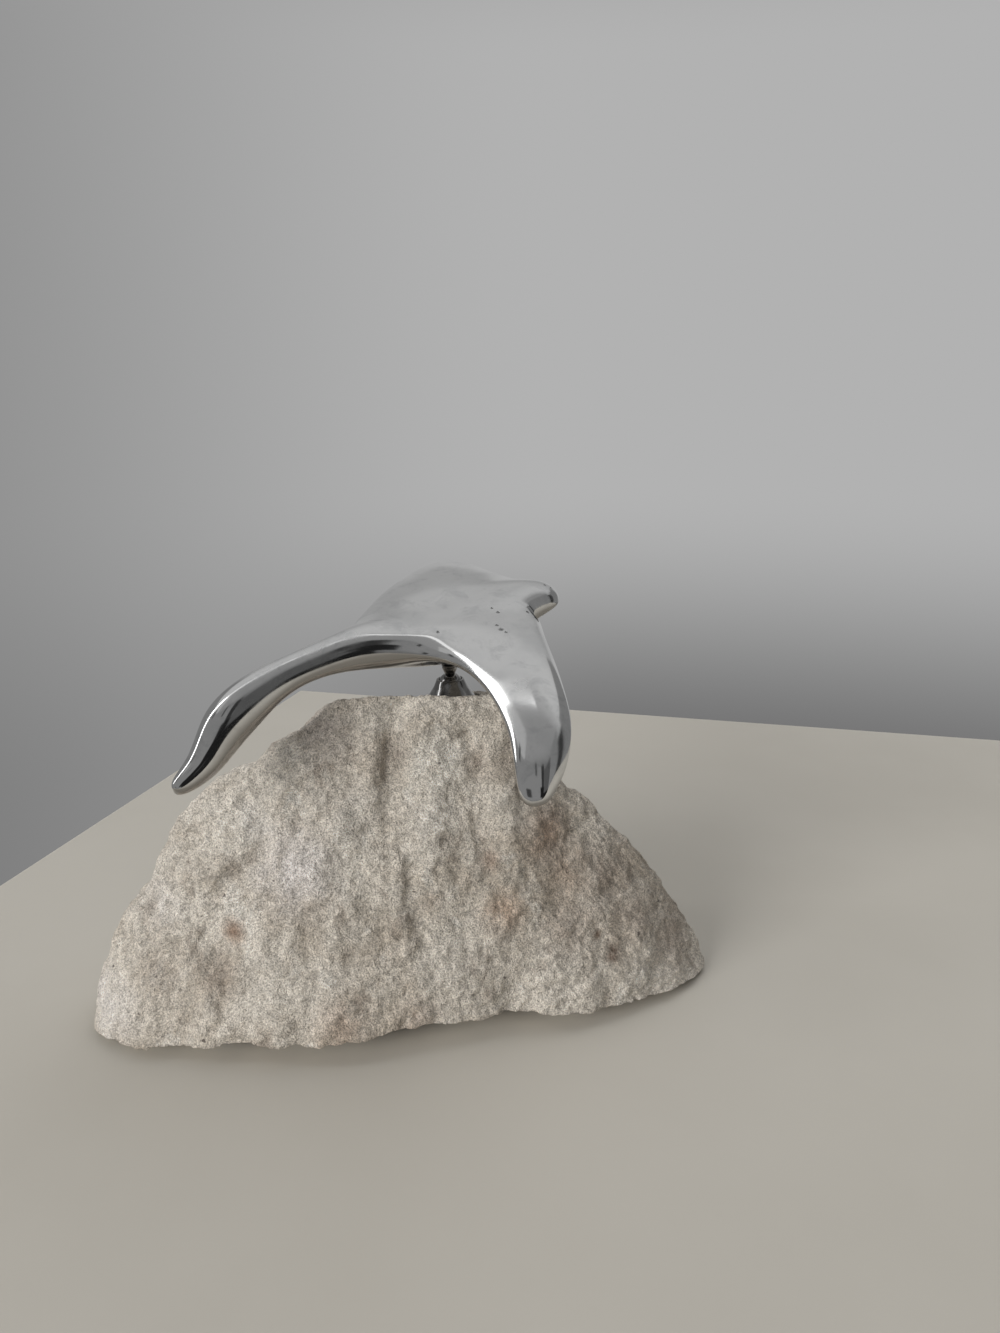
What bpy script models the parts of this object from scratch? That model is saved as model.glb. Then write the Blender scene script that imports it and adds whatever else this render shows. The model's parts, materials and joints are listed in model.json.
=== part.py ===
"""A polished cast goose in flight, held by a ball swivel on a rough block of stone.

The stone's length lies along X and its broad face looks along -Y. The origin is on the surface
that the sculpture stands on, below the middle of the whole. Tables of sections are in millimetres.
"""

import math

import bmesh
import bpy
from mathutils import Matrix, Vector, noise

MM = 0.001
CLEARANCE = 0.3 * MM

# The size of the stone, and the size in millimetres that its tables are drawn for.
STONE_LENGTH = 219.0 * MM
STONE_DEPTH = 100.0 * MM
STONE_HEIGHT = 114.4 * MM
DRAWN_LENGTH, DRAWN_DEPTH, DRAWN_HEIGHT = 219.0, 100.0, 114.4
ALONG, ACROSS, UPWARD = STONE_LENGTH / DRAWN_LENGTH, STONE_DEPTH / DRAWN_DEPTH, STONE_HEIGHT / DRAWN_HEIGHT

# The stone stands on felt pads.
PAD_THICKNESS = 1.5 * MM
PAD_RADIUS = 7.0 * MM
PAD_PLACES = ((-58.0, -22.0), (-52.0, 29.0), (58.0, -20.0), (54.0, 19.0))
STONE_UNDERSIDE = PAD_THICKNESS + CLEARANCE

# The stone as sections along X, each with its height and the places of its ridge, of its foot at
# the front and of its foot at the back along Y.
STONE_SECTIONS = (
    (-109.4, 10.0, -6.0, -16.0, 7.0),
    (-101.0, 30.0, -7.0, -25.5, 20.0),
    (-95.0, 41.0, -8.0, -29.0, 27.5),
    (-88.8, 47.5, -8.5, -31.5, 32.0),
    (-84.0, 60.0, -9.0, -33.0, 35.5),
    (-77.0, 72.0, -9.0, -35.0, 40.0),
    (-71.2, 78.0, -9.5, -38.0, 43.5),
    (-66.4, 82.5, -10.0, -40.0, 46.0),
    (-62.5, 86.0, -10.0, -41.0, 47.5),
    (-57.3, 89.0, -10.5, -42.0, 49.0),
    (-50.5, 91.0, -10.5, -44.0, 50.5),
    (-46.0, 96.0, -11.0, -45.0, 51.5),
    (-42.0, 98.8, -11.5, -45.0, 52.0),
    (-37.0, 101.6, -12.0, -45.0, 52.5),
    (-33.0, 105.0, -12.5, -45.5, 53.0),
    (-26.0, 111.2, -13.5, -46.0, 53.5),
    (-21.5, 112.8, -14.5, -46.0, 53.8),
    (-14.0, 113.8, -15.5, -46.0, 54.0),
    (-5.0, 114.4, -16.5, -45.0, 53.8),
    (15.0, 113.8, -18.5, -40.5, 53.0),
    (28.0, 113.3, -18.0, -39.5, 51.6),
    (33.0, 112.5, -17.5, -39.5, 51.0),
    (39.0, 104.0, -16.0, -40.0, 49.0),
    (47.0, 87.5, -15.0, -41.0, 46.0),
    (53.5, 77.8, -14.0, -40.5, 43.0),
    (60.0, 73.2, -13.0, -40.0, 40.0),
    (63.5, 69.5, -12.5, -39.0, 38.5),
    (68.5, 62.0, -12.0, -37.5, 36.0),
    (75.0, 55.0, -11.0, -35.5, 33.0),
    (90.0, 36.3, -9.0, -29.5, 24.0),
    (102.0, 19.0, -8.0, -21.5, 13.0),
    (109.6, 7.0, -7.0, -13.0, 2.0),
)

# How the stone falls from its ridge to its foot, as shares of the way out and of the height.
FRONT_FALL = ((0.0, 1.0), (0.1, 0.94), (0.34, 0.72), (0.62, 0.45), (0.88, 0.2), (1.0, 0.06))
BACK_FALL = ((0.0, 1.0), (0.1, 0.97), (0.4, 0.92), (0.52, 0.84), (0.72, 0.62), (0.88, 0.34), (1.0, 0.06))
FOOT_UNDERCUT = 2.0 * MM
STONE_STEP = 3.7 * MM
FRONT_STEPS = 18
BACK_STEPS = 12
UNDER_STEPS = 4

# The broken surface, as lumps of falling size: how far apart they are and how far they stand out.
# The lumps are drawn out upwards, so that the faces carry upright ridges.
STONE_LUMPS = ((38.0 * MM, 2.2 * MM), (17.0 * MM, 1.5 * MM), (8.0 * MM, 0.8 * MM))
LUMP_GRAIN = Vector((1.0, 1.0, 0.6))
LUMP_ORIGIN = Vector((0.0, -5.0, 0.0)) * MM
LUMP_SEED = 1795730409
FULL_LUMPS_FROM_HEIGHT = 40.0 * MM
FLAT_NEAR_UNDERSIDE = 9.0 * MM

# The grooves and ridges of the broad face, each as a line from one (x, z) to another, with its half
# width and how far it stands out of the face or, below zero, is sunk into it.
FACE_RELIEF = (
    (-4.5, 112.0, -6.0, 80.0, 4.6, -2.8),
    (7.0, 110.0, 6.0, 62.0, 6.0, 1.6),
    (19.0, 101.0, 22.0, 66.0, 4.8, -2.2),
    (0.0, 62.0, -0.5, 37.0, 2.8, -1.6),
    (-5.5, 63.0, -6.0, 36.0, 3.0, 1.3),
    (23.0, 66.0, 22.5, 53.0, 2.4, -1.3),
    (-50.0, 69.0, -65.0, 52.0, 3.0, -2.2),
    (-66.0, 34.0, -64.0, 18.0, 3.4, -2.0),
    (-28.0, 104.0, -22.0, 88.0, 8.0, -1.6),
    (-41.0, 66.0, -35.0, 58.0, 8.0, 1.4),
    (52.0, 60.0, 47.0, 43.0, 4.5, -1.3),
)
RELIEF_FADE = 0.06

# Where the ball's centre is: along and across the stone, and how far below the top of its ridge.
BALL_ALONG = 15.3 * MM
BALL_ACROSS = -1.5 * MM
BALL_BELOW_RIDGE = 1.0 * MM
BALL_CENTRE = Vector((BALL_ALONG, BALL_ACROSS, STONE_HEIGHT - BALL_BELOW_RIDGE))

# The swivel, measured along its own axis from the centre of the ball. The axis leans to the left.
SWIVEL_LEAN = math.radians(2.0)
BALL_RADIUS = 4.1 * MM
BALL_CAVITY = BALL_RADIUS + CLEARANCE
SEAT_DEPTH = 9.2 * MM
SPOTFACE_RADIUS = 10.3 * MM
DOME_FOOT = -SEAT_DEPTH + CLEARANCE
DOME_RADIUS = 9.5 * MM
DOME_LIP_RADIUS = 4.7 * MM
DOME_LIP_HEIGHT = 1.8 * MM
DOME_BORE = 7.9 * MM

# The outside of the dome, as shares of its radius and of its height.
DOME_OUTSIDE = ((1.0, 0.0), (1.0, 0.09), (0.95, 0.23), (0.86, 0.4), (0.74, 0.58), (0.61, 0.76), (0.54, 0.9))
PLATE_THICKNESS = 2.0 * MM
PLATE_TOP = DOME_FOOT + PLATE_THICKNESS
ROD_RADIUS = 3.0 * MM
ROD_LENGTH = 30.0 * MM
ROD_BOTTOM = PLATE_TOP - ROD_LENGTH
RESIN_WALL = 1.4 * MM
RESIN_FLOOR = 1.7 * MM
ANCHOR_HOLE_RADIUS = ROD_RADIUS + RESIN_WALL + 2 * CLEARANCE
ANCHOR_HOLE_FLOOR = ROD_BOTTOM - RESIN_FLOOR - 2 * CLEARANCE
SPRING_INNER = 2.0 * MM
SPRING_OUTER = 4.3 * MM
SPRING_DISH = 0.5 * MM
SPRING_THICKNESS = 0.4 * MM
SPRING_BOTTOM = PLATE_TOP + CLEARANCE
CUP_RADIUS = 4.5 * MM
CUP_HOLE = 1.2 * MM
CUP_RIM_WIDTH = 1.1 * MM
CUP_STEPS = 4

# The stud, measured the same way along its own axis, which is the upright of the goose.
NECK_RADIUS = 1.85 * MM
NECK_LENGTH = 1.0 * MM
FLANGE_RADIUS = 2.6 * MM
FLARE_END = 6.6 * MM
FLANGE_TOP = 7.8 * MM
SHANK_RADIUS = 2.0 * MM
SHANK_TOP = 16.2 * MM
WASHER_RADIUS = 2.9 * MM
WASHER_BOTTOM = FLANGE_TOP + CLEARANCE
WASHER_TOP = WASHER_BOTTOM + 0.6 * MM
THREAD_RUNOUT = 0.8 * MM
BALL_STEPS = 10

# How the goose is held at rest, from level flight straight along -X.
GOOSE_HEADING = math.radians(16.0)
GOOSE_DIVE = math.radians(9.0)
GOOSE_BANK = math.radians(16.0)
BALL_TO_BELLY = 7.0 * MM

# The size of the goose, and the size in millimetres that its tables are drawn for.
GOOSE_LENGTH = 139.5 * MM
WING_SPAN = 140.5 * MM
DRAWN_GOOSE, DRAWN_SPAN = 139.5, 140.5

# The body, neck and head as sections from the tail to the bill. Each is the distance ahead of the
# stud, how far its middle lies to the left and above the belly, its half width, its rise and drop.
SPINE_SECTIONS = (
    (-41.2, 0.0, 16.0, 2.8, 2.0, 1.4),
    (-39.0, 0.0, 16.6, 6.2, 5.3, 3.0),
    (-34.0, 0.0, 16.7, 8.5, 7.4, 4.2),
    (-26.0, 0.0, 15.8, 9.5, 7.6, 6.2),
    (-12.0, 0.0, 13.5, 8.6, 9.0, 9.6),
    (2.0, 0.0, 12.5, 8.2, 9.8, 12.4),
    (18.0, 0.0, 14.8, 7.6, 8.4, 9.2),
    (30.0, 0.0, 17.0, 7.6, 8.2, 8.4),
    (41.5, 0.2, 16.3, 6.2, 6.9, 5.4),
    (52.0, 0.7, 15.0, 5.8, 6.9, 4.6),
    (60.5, 1.6, 13.0, 6.3, 8.0, 5.6),
    (69.0, 3.2, 10.3, 7.6, 9.4, 8.2),
    (76.5, 5.2, 6.3, 7.8, 9.6, 8.7),
    (81.7, 7.6, 1.6, 6.6, 7.5, 7.4),
    (86.6, 10.3, -2.4, 5.3, 6.2, 5.9),
    (91.9, 12.4, -4.6, 4.0, 5.0, 4.2),
    (97.0, 14.0, -5.6, 2.5, 2.4, 2.8),
)
SPINE_SIDES = 8

# The wings join the body between these distances ahead of the stud. There its back is fuller: its
# upper sides reach these shares of the rise, one for each section from the tail forwards.
LEFT_ROOT = (-26.0, 30.0)
RIGHT_ROOT = (-34.0, 30.0)
FULL_BACK_SHARES = (0.88, 0.95, 0.98, 0.98, 0.94, 0.82)

# Each wing as sections from its root to its tip: distance out from the middle, height of its middle
# surface, where its leading and trailing edges lie ahead of the stud, and its half thickness.
LEFT_WING = (
    (12.0, 16.7, 14.0, -25.6, 3.6),
    (20.0, 16.9, 6.8, -22.6, 3.2),
    (28.0, 16.6, 3.8, -20.2, 3.0),
    (37.0, 15.2, 2.4, -18.0, 2.9),
    (46.0, 12.6, 2.4, -15.6, 2.8),
    (54.0, 9.3, 3.4, -13.4, 2.8),
    (61.5, 4.9, 5.8, -9.4, 2.8),
    (67.0, -0.4, 7.8, -4.2, 2.6),
    (69.6, -5.2, 7.6, 1.0, 2.0),
)
RIGHT_WING = (
    (12.0, 16.7, 27.0, -31.5, 3.6),
    (20.0, 16.0, 19.0, -28.5, 3.3),
    (29.0, 14.8, 12.0, -27.0, 3.0),
    (38.0, 12.8, 0.5, -26.5, 2.9),
    (46.0, 9.4, -8.5, -26.0, 2.8),
    (54.0, 4.0, -12.0, -25.0, 2.8),
    (61.5, -4.0, -13.0, -22.5, 2.8),
    (67.0, -11.0, -13.0, -18.5, 2.6),
    (69.5, -16.5, -12.0, -14.5, 2.0),
)
WING_CROWN = 2.6
EDGE_ROUND = 1.1
TIP_ROUND = 1.0
CAST_SMOOTHING = 1

TURNED_SIDES = 24
CRISP_EDGE = math.radians(35.0)


def clear_scene():
    for thing in list(bpy.data.objects):
        bpy.data.objects.remove(thing)


def material(name, colour, roughness, metallic):
    finish = bpy.data.materials.get(name) or bpy.data.materials.new(name)
    finish.use_nodes = True
    surface = finish.node_tree.nodes["Principled BSDF"]
    surface.inputs["Base Color"].default_value = (*colour, 1.0)
    surface.inputs["Roughness"].default_value = roughness
    surface.inputs["Metallic"].default_value = metallic
    return finish


def stone_finish():
    return material("rough_stone", (0.60, 0.55, 0.49), 0.85, 0.0)


def cast_finish():
    return material("polished_aluminium", (0.80, 0.81, 0.82), 0.12, 1.0)


def swivel_finish():
    return material("dark_chrome", (0.12, 0.12, 0.13), 0.15, 1.0)


def steel_finish():
    return material("steel", (0.45, 0.45, 0.44), 0.35, 1.0)


def felt_finish():
    return material("felt", (0.10, 0.09, 0.08), 0.95, 0.0)


def resin_finish():
    return material("resin", (0.45, 0.40, 0.30), 0.5, 0.0)


def cup_finish():
    return material("nylon", (0.75, 0.74, 0.70), 0.5, 0.0)


def add_object(name, mesh, finish, parent=None):
    thing = bpy.data.objects.new(name, mesh)
    bpy.context.collection.objects.link(thing)
    mesh.materials.append(finish)
    thing.parent = parent
    return thing


def mesh_from(form, name, sharp_angle):
    """Turns a working mesh into a finished one, smooth but for edges sharper than the angle."""
    bmesh.ops.recalc_face_normals(form, faces=form.faces)
    mesh = bpy.data.meshes.new(name)
    form.to_mesh(mesh)
    form.free()
    mesh.shade_smooth()
    mesh.set_sharp_from_angle(angle=sharp_angle)
    return mesh


def turned_mesh(name, profile, ring=False):
    """Turns a profile of (radius, height) about Z; a ring's profile is closed on itself."""
    form = bmesh.new()
    rows = []
    for radius, height in profile:
        if radius == 0.0:
            rows.append([form.verts.new((0.0, 0.0, height))] * TURNED_SIDES)
            continue
        row = []
        for k in range(TURNED_SIDES):
            turn = 2 * math.pi * k / TURNED_SIDES
            row.append(form.verts.new((radius * math.cos(turn), radius * math.sin(turn), height)))
        rows.append(row)
    pairs = list(zip(rows, rows[1:]))
    if ring:
        pairs.append((rows[-1], rows[0]))
    for lower, upper in pairs:
        for k in range(TURNED_SIDES):
            n = (k + 1) % TURNED_SIDES
            corners = dict.fromkeys((lower[k], lower[n], upper[n], upper[k]))
            form.faces.new(list(corners))
    return mesh_from(form, name, CRISP_EDGE)


def turned(name, profile, finish, parent, ring=False):
    return add_object(name, turned_mesh(name, profile, ring), finish, parent)


def cut(target, name, profile, finish, axis):
    """Takes a turned shape out of the target and keeps that shape as a hidden guide."""
    cutter = turned(name, profile, finish, axis)
    cutter.hide_render = True
    cutter.display_type = "WIRE"
    opening = target.modifiers.new(name, "BOOLEAN")
    opening.operation = "DIFFERENCE"
    opening.object = cutter


def between(rows, place):
    """Reads a table of rows, each starting with its place, at any place between them."""
    for low, high in zip(rows, rows[1:]):
        if place <= high[0]:
            share = max(0.0, (place - low[0]) / (high[0] - low[0]))
            return [a + (b - a) * share for a, b in zip(low, high)]
    return list(rows[-1])


def along_fall(fall, steps):
    """Points evenly spread along a fall from the ridge to the foot, without the ridge itself."""
    lengths = [0.0]
    for (a, b), (c, d) in zip(fall, fall[1:]):
        lengths.append(lengths[-1] + math.hypot(c - a, d - b))
    rows = [(length, out, height) for length, (out, height) in zip(lengths, fall)]
    return [between(rows, lengths[-1] * i / steps)[1:] for i in range(1, steps + 1)]


def stone_ring(x):
    """The stone's outline across X at one place, from the ridge down the front and round."""
    _, height, *sides = between(STONE_SECTIONS, x / ALONG)
    height *= UPWARD
    ridge, front, back = [side * ACROSS for side in sides]
    rise = height - STONE_UNDERSIDE
    points = [Vector((x, ridge, height))]
    for out, up in along_fall(FRONT_FALL, FRONT_STEPS):
        point = Vector((x, ridge + (front - ridge) * out, STONE_UNDERSIDE + rise * up))
        point.y -= face_relief(point) * min(1.0, out / RELIEF_FADE)
        points.append(point)
    inset = min(FOOT_UNDERCUT, (back - front) / 6)
    for i in range(UNDER_STEPS + 1):
        y = front + inset + (back - front - 2 * inset) * i / UNDER_STEPS
        points.append(Vector((x, y, STONE_UNDERSIDE)))
    for out, up in reversed(along_fall(BACK_FALL, BACK_STEPS)):
        points.append(Vector((x, ridge + (back - ridge) * out, STONE_UNDERSIDE + rise * up)))
    calm = min(1.0, rise / FULL_LUMPS_FROM_HEIGHT)
    return [roughened(point, calm) for point in points]


def face_relief(point):
    """How far the grooves and ridges move a point of the broad face outwards."""
    here = Vector((point.x / ALONG, point.z / UPWARD))
    moved = 0.0
    for x0, z0, x1, z1, half_width, height in FACE_RELIEF:
        start = Vector((x0, z0))
        run = Vector((x1, z1)) - start
        share = max(0.0, min(1.0, (here - start).dot(run) / run.length_squared))
        away = (here - start - run * share).length / half_width
        moved += height * MM * math.exp(-away * away)
    return moved


def roughened(point, strength):
    """Moves a point of the stone by the lumps of its broken surface, but keeps its underside flat."""
    shift = Vector((0.0, 0.0, 0.0))
    place = (point - LUMP_ORIGIN) * LUMP_GRAIN
    for spacing, height in STONE_LUMPS:
        shift += noise.noise_vector(place / spacing) * height * strength
    shift.z *= min(1.0, (point.z - STONE_UNDERSIDE) / FLAT_NEAR_UNDERSIDE)
    return point + shift


def stone_mesh():
    noise.seed_set(LUMP_SEED)
    form = bmesh.new()
    first, last = STONE_SECTIONS[0][0] * ALONG, STONE_SECTIONS[-1][0] * ALONG
    count = round((last - first) / STONE_STEP)
    rings = []
    for i in range(count + 1):
        ring = stone_ring(first + (last - first) * i / count)
        rings.append([form.verts.new(point) for point in ring])
    for before, after in zip(rings, rings[1:]):
        for k in range(len(before)):
            n = (k + 1) % len(before)
            form.faces.new((before[k], after[k], after[n], before[n]))
    ends = [form.faces.new(ring) for ring in (rings[0], rings[-1])]
    bmesh.ops.poke(form, faces=ends)
    return mesh_from(form, "stone_base", math.radians(25.0))


def felt_pads():
    disc = [(0.0, 0.0), (PAD_RADIUS, 0.0), (PAD_RADIUS, PAD_THICKNESS), (0.0, PAD_THICKNESS)]
    for i, (x, y) in enumerate(PAD_PLACES):
        pad = turned(f"felt_pad_{i + 1}", disc, felt_finish(), None)
        pad.location = (x * ALONG, y * ACROSS, 0.0)


def stone_base(swivel):
    """The stone, drilled for the anchor and faced flat for the swivel."""
    stone = add_object("stone_base", stone_mesh(), stone_finish())
    above_all = 2 * DOME_RADIUS
    drilling = [
        (0.0, ANCHOR_HOLE_FLOOR),
        (ANCHOR_HOLE_RADIUS, ANCHOR_HOLE_FLOOR),
        (ANCHOR_HOLE_RADIUS, -SEAT_DEPTH),
        (SPOTFACE_RADIUS, -SEAT_DEPTH),
        (SPOTFACE_RADIUS, above_all),
        (0.0, above_all),
    ]
    cut(stone, "stone_drilling", drilling, stone_finish(), swivel)


def anchor(swivel):
    """The threaded rod that is set in the drilled hole, and the resin round it."""
    rod = [(0.0, ROD_BOTTOM), (ROD_RADIUS, ROD_BOTTOM), (ROD_RADIUS, PLATE_TOP), (0.0, PLATE_TOP)]
    turned("anchor_rod", rod, steel_finish(), swivel)
    inner = ROD_RADIUS + CLEARANCE
    outer = inner + RESIN_WALL
    mouth = -SEAT_DEPTH
    floor = ROD_BOTTOM - CLEARANCE
    resin = [
        (0.0, floor - RESIN_FLOOR),
        (outer, floor - RESIN_FLOOR),
        (outer, mouth),
        (inner, mouth),
        (inner, floor),
        (0.0, floor),
    ]
    turned("anchor_resin", resin, resin_finish(), swivel)


def base_plate(swivel):
    inner, outer = ROD_RADIUS + CLEARANCE, DOME_BORE - CLEARANCE
    disc = [(inner, DOME_FOOT), (outer, DOME_FOOT), (outer, PLATE_TOP), (inner, PLATE_TOP)]
    turned("base_plate", disc, steel_finish(), swivel, ring=True)


def socket_dome(swivel):
    """The bell-shaped cap that screws over the plate and holds the ball from above."""
    tall = DOME_LIP_HEIGHT - DOME_FOOT
    profile = [(DOME_RADIUS * wide, DOME_FOOT + tall * high) for wide, high in DOME_OUTSIDE]
    profile.append((DOME_LIP_RADIUS, DOME_LIP_HEIGHT))
    for height in (DOME_LIP_HEIGHT, DOME_LIP_HEIGHT / 2, 0.0):
        profile.append((math.sqrt(BALL_CAVITY**2 - height**2), height))
    bore = CUP_RADIUS + CLEARANCE
    profile.append((bore, -BALL_CAVITY / 4))
    profile.append((bore, PLATE_TOP + CLEARANCE))
    profile.append((DOME_BORE, PLATE_TOP + CLEARANCE))
    profile.append((DOME_BORE, DOME_FOOT))
    turned("socket_dome", profile, swivel_finish(), swivel, ring=True)


def spring_washer(swivel):
    dish = [
        (SPRING_INNER, SPRING_BOTTOM + SPRING_DISH),
        (SPRING_OUTER, SPRING_BOTTOM),
        (SPRING_OUTER, SPRING_BOTTOM + SPRING_THICKNESS),
        (SPRING_INNER, SPRING_BOTTOM + SPRING_DISH + SPRING_THICKNESS),
    ]
    turned("spring_washer", dish, steel_finish(), swivel, ring=True)


def ball_seat(swivel):
    """The cup that the spring presses up against the ball."""
    bottom = SPRING_BOTTOM + SPRING_DISH + SPRING_THICKNESS + CLEARANCE
    rim = math.asin((CUP_RADIUS - CUP_RIM_WIDTH) / BALL_CAVITY)
    hole = math.asin(CUP_HOLE / BALL_CAVITY)
    profile = [(CUP_HOLE, bottom), (CUP_RADIUS, bottom)]
    profile.append((CUP_RADIUS, -BALL_CAVITY * math.cos(rim)))
    for i in range(CUP_STEPS + 1):
        angle = rim + (hole - rim) * i / CUP_STEPS
        profile.append((BALL_CAVITY * math.sin(angle), -BALL_CAVITY * math.cos(angle)))
    turned("ball_seat", profile, cup_finish(), swivel, ring=True)


def ball_stud(stud):
    profile = [(0.0, -BALL_RADIUS)]
    shoulder = math.pi - math.asin(NECK_RADIUS / BALL_RADIUS)
    for i in range(1, BALL_STEPS + 1):
        angle = shoulder * i / BALL_STEPS
        profile.append((BALL_RADIUS * math.sin(angle), -BALL_RADIUS * math.cos(angle)))
    profile.append((NECK_RADIUS, profile[-1][1] + NECK_LENGTH))
    profile += [(FLANGE_RADIUS, FLARE_END), (FLANGE_RADIUS, FLANGE_TOP)]
    profile += [(SHANK_RADIUS, FLANGE_TOP), (SHANK_RADIUS, SHANK_TOP), (0.0, SHANK_TOP)]
    turned("ball_stud", profile, swivel_finish(), stud)


def stud_washer(stud):
    inner = SHANK_RADIUS + CLEARANCE
    disc = [
        (inner, WASHER_BOTTOM),
        (WASHER_RADIUS, WASHER_BOTTOM),
        (WASHER_RADIUS, WASHER_TOP),
        (inner, WASHER_TOP),
    ]
    turned("stud_washer", disc, swivel_finish(), stud, ring=True)


def goose_axes():
    """The goose's forward, left and up directions at rest, as the columns of a rotation."""
    ahead = Vector((-math.cos(GOOSE_HEADING), -math.sin(GOOSE_HEADING), 0.0))
    left = Vector((math.sin(GOOSE_HEADING), -math.cos(GOOSE_HEADING), 0.0))
    upright = Vector((0.0, 0.0, 1.0))
    diving = ahead * math.cos(GOOSE_DIVE) - upright * math.sin(GOOSE_DIVE)
    upright = upright * math.cos(GOOSE_DIVE) + ahead * math.sin(GOOSE_DIVE)
    banked = left * math.cos(GOOSE_BANK) - upright * math.sin(GOOSE_BANK)
    up = upright * math.cos(GOOSE_BANK) + left * math.sin(GOOSE_BANK)
    return Matrix((diving, banked, up)).transposed()


def joined_sections(root):
    """The numbers of the body's sections that a wing joins."""
    return [i for i, row in enumerate(SPINE_SECTIONS) if root[0] <= row[0] <= root[1]]


def spine_rings():
    """One ring of points round each body section, square to the line through the sections."""
    middles = [Vector(row[:3]) for row in SPINE_SECTIONS]
    fuller = dict(zip(joined_sections(RIGHT_ROOT), FULL_BACK_SHARES))
    rings = []
    for i, (_, _, _, half_width, rise, drop) in enumerate(SPINE_SECTIONS):
        before, after = middles[max(i - 1, 0)], middles[min(i + 1, len(middles) - 1)]
        run = (after - before).normalized()
        sideways = Vector((0.0, 0.0, 1.0)).cross(run).normalized()
        upward = run.cross(sideways)
        ring = []
        for k in range(SPINE_SIDES):
            turn = 2 * math.pi * k / SPINE_SIDES
            lift = math.sin(turn)
            if k in (1, 3) and i in fuller:
                lift = fuller[i]
            height = lift * (rise if lift > 0 else drop)
            ring.append(middles[i] + sideways * math.cos(turn) * half_width + upward * height)
        rings.append(ring)
    return rings


def wing_normals(sections):
    """The direction square to the wing's surface at each of its sections, seen from ahead."""
    places = [Vector(row[:2]) for row in sections]
    normals = []
    for i in range(len(places)):
        run = places[min(i + 1, len(places) - 1)] - places[max(i - 1, 0)]
        run.normalize()
        normals.append((-run.y, run.x))
    return normals


def wing_loop(section, normal, side, stations):
    """The points round one section of a wing: over its top to the trailing edge, and back below."""
    out, height, lead, trail, half = section
    lift = Vector((0.0, side * normal[0], normal[1])) * half
    edge = Vector((half * EDGE_ROUND, 0.0, 0.0))
    middle_line = []
    top = []
    for c in range(stations):
        share = c / (stations - 1)
        point = Vector((lead + (trail - lead) * share, side * out, height))
        middle_line.append(point)
        top.append(point + lift * (1 + WING_CROWN / half * math.sin(math.pi * share)))
    bottom = [point - lift for point in reversed(middle_line)]
    return top + [middle_line[-1] - edge] + bottom + [middle_line[0] + edge]


def bridge(form, inner, outer):
    for a in range(len(inner)):
        b = (a + 1) % len(inner)
        form.faces.new((inner[a], inner[b], outer[b], outer[a]))


def close_wing_tip(form, loop, side, stations):
    """Closes the tip with two rows of faces about its middle line."""
    tops, trailing = loop[:stations], loop[stations]
    bottoms, leading = list(reversed(loop[stations + 1 : -1])), loop[-1]
    beyond = Vector((0.0, side * TIP_ROUND, -TIP_ROUND))
    middle = [leading]
    for top, bottom in zip(tops[1:-1], bottoms[1:-1]):
        middle.append(form.verts.new((top.co + bottom.co) / 2 + beyond))
    middle.append(trailing)
    form.faces.new((tops[0], tops[1], middle[1], leading))
    form.faces.new((leading, middle[1], bottoms[1], bottoms[0]))
    for c in range(1, stations - 2):
        form.faces.new((tops[c], tops[c + 1], middle[c + 1], middle[c]))
        form.faces.new((middle[c], middle[c + 1], bottoms[c + 1], bottoms[c]))
    form.faces.new((tops[-2], tops[-1], trailing, middle[-2]))
    form.faces.new((middle[-2], trailing, bottoms[-1], bottoms[-2]))


def add_wing(form, rings, side, root, sections):
    """Grows a wing out of the opening that the body leaves between two of its sections."""
    top, middle, bottom = (1, 0, SPINE_SIDES - 1) if side > 0 else (3, 4, 5)
    stations = list(reversed(joined_sections(root)))
    last, first = stations[0], stations[-1]
    loop = [rings[i][top] for i in stations] + [rings[first][middle]]
    loop += [rings[i][bottom] for i in reversed(stations)] + [rings[last][middle]]
    for section, normal in zip(sections, wing_normals(sections)):
        points = wing_loop(section, normal, side, len(stations))
        fresh = [form.verts.new(point) for point in points]
        bridge(form, loop, fresh)
        loop = fresh
    close_wing_tip(form, loop, side, len(stations))


def open_for_wing(i, k):
    """Whether the body's face from side k to the next, ahead of section i, is left to a wing."""
    on_left = k in (0, SPINE_SIDES - 1) and i in joined_sections(LEFT_ROOT)[:-1]
    on_right = k in (3, 4) and i in joined_sections(RIGHT_ROOT)[:-1]
    return on_left or on_right


def goose_mesh():
    form = bmesh.new()
    rings = [[form.verts.new(point) for point in ring] for ring in spine_rings()]
    for i in range(len(rings) - 1):
        for k in range(SPINE_SIDES):
            n = (k + 1) % SPINE_SIDES
            if not open_for_wing(i, k):
                form.faces.new((rings[i][k], rings[i + 1][k], rings[i + 1][n], rings[i][n]))
    for ring in (rings[0], rings[-1]):
        form.faces.new((ring[0], ring[1], ring[2], ring[3]))
        form.faces.new((ring[0], ring[3], ring[4], ring[7]))
        form.faces.new((ring[7], ring[4], ring[5], ring[6]))
    add_wing(form, rings, 1, LEFT_ROOT, LEFT_WING)
    add_wing(form, rings, -1, RIGHT_ROOT, RIGHT_WING)
    size = (GOOSE_LENGTH / DRAWN_GOOSE, WING_SPAN / DRAWN_SPAN, MM)
    bmesh.ops.scale(form, vec=size, verts=form.verts)
    return mesh_from(form, "goose_casting", math.pi)


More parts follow.
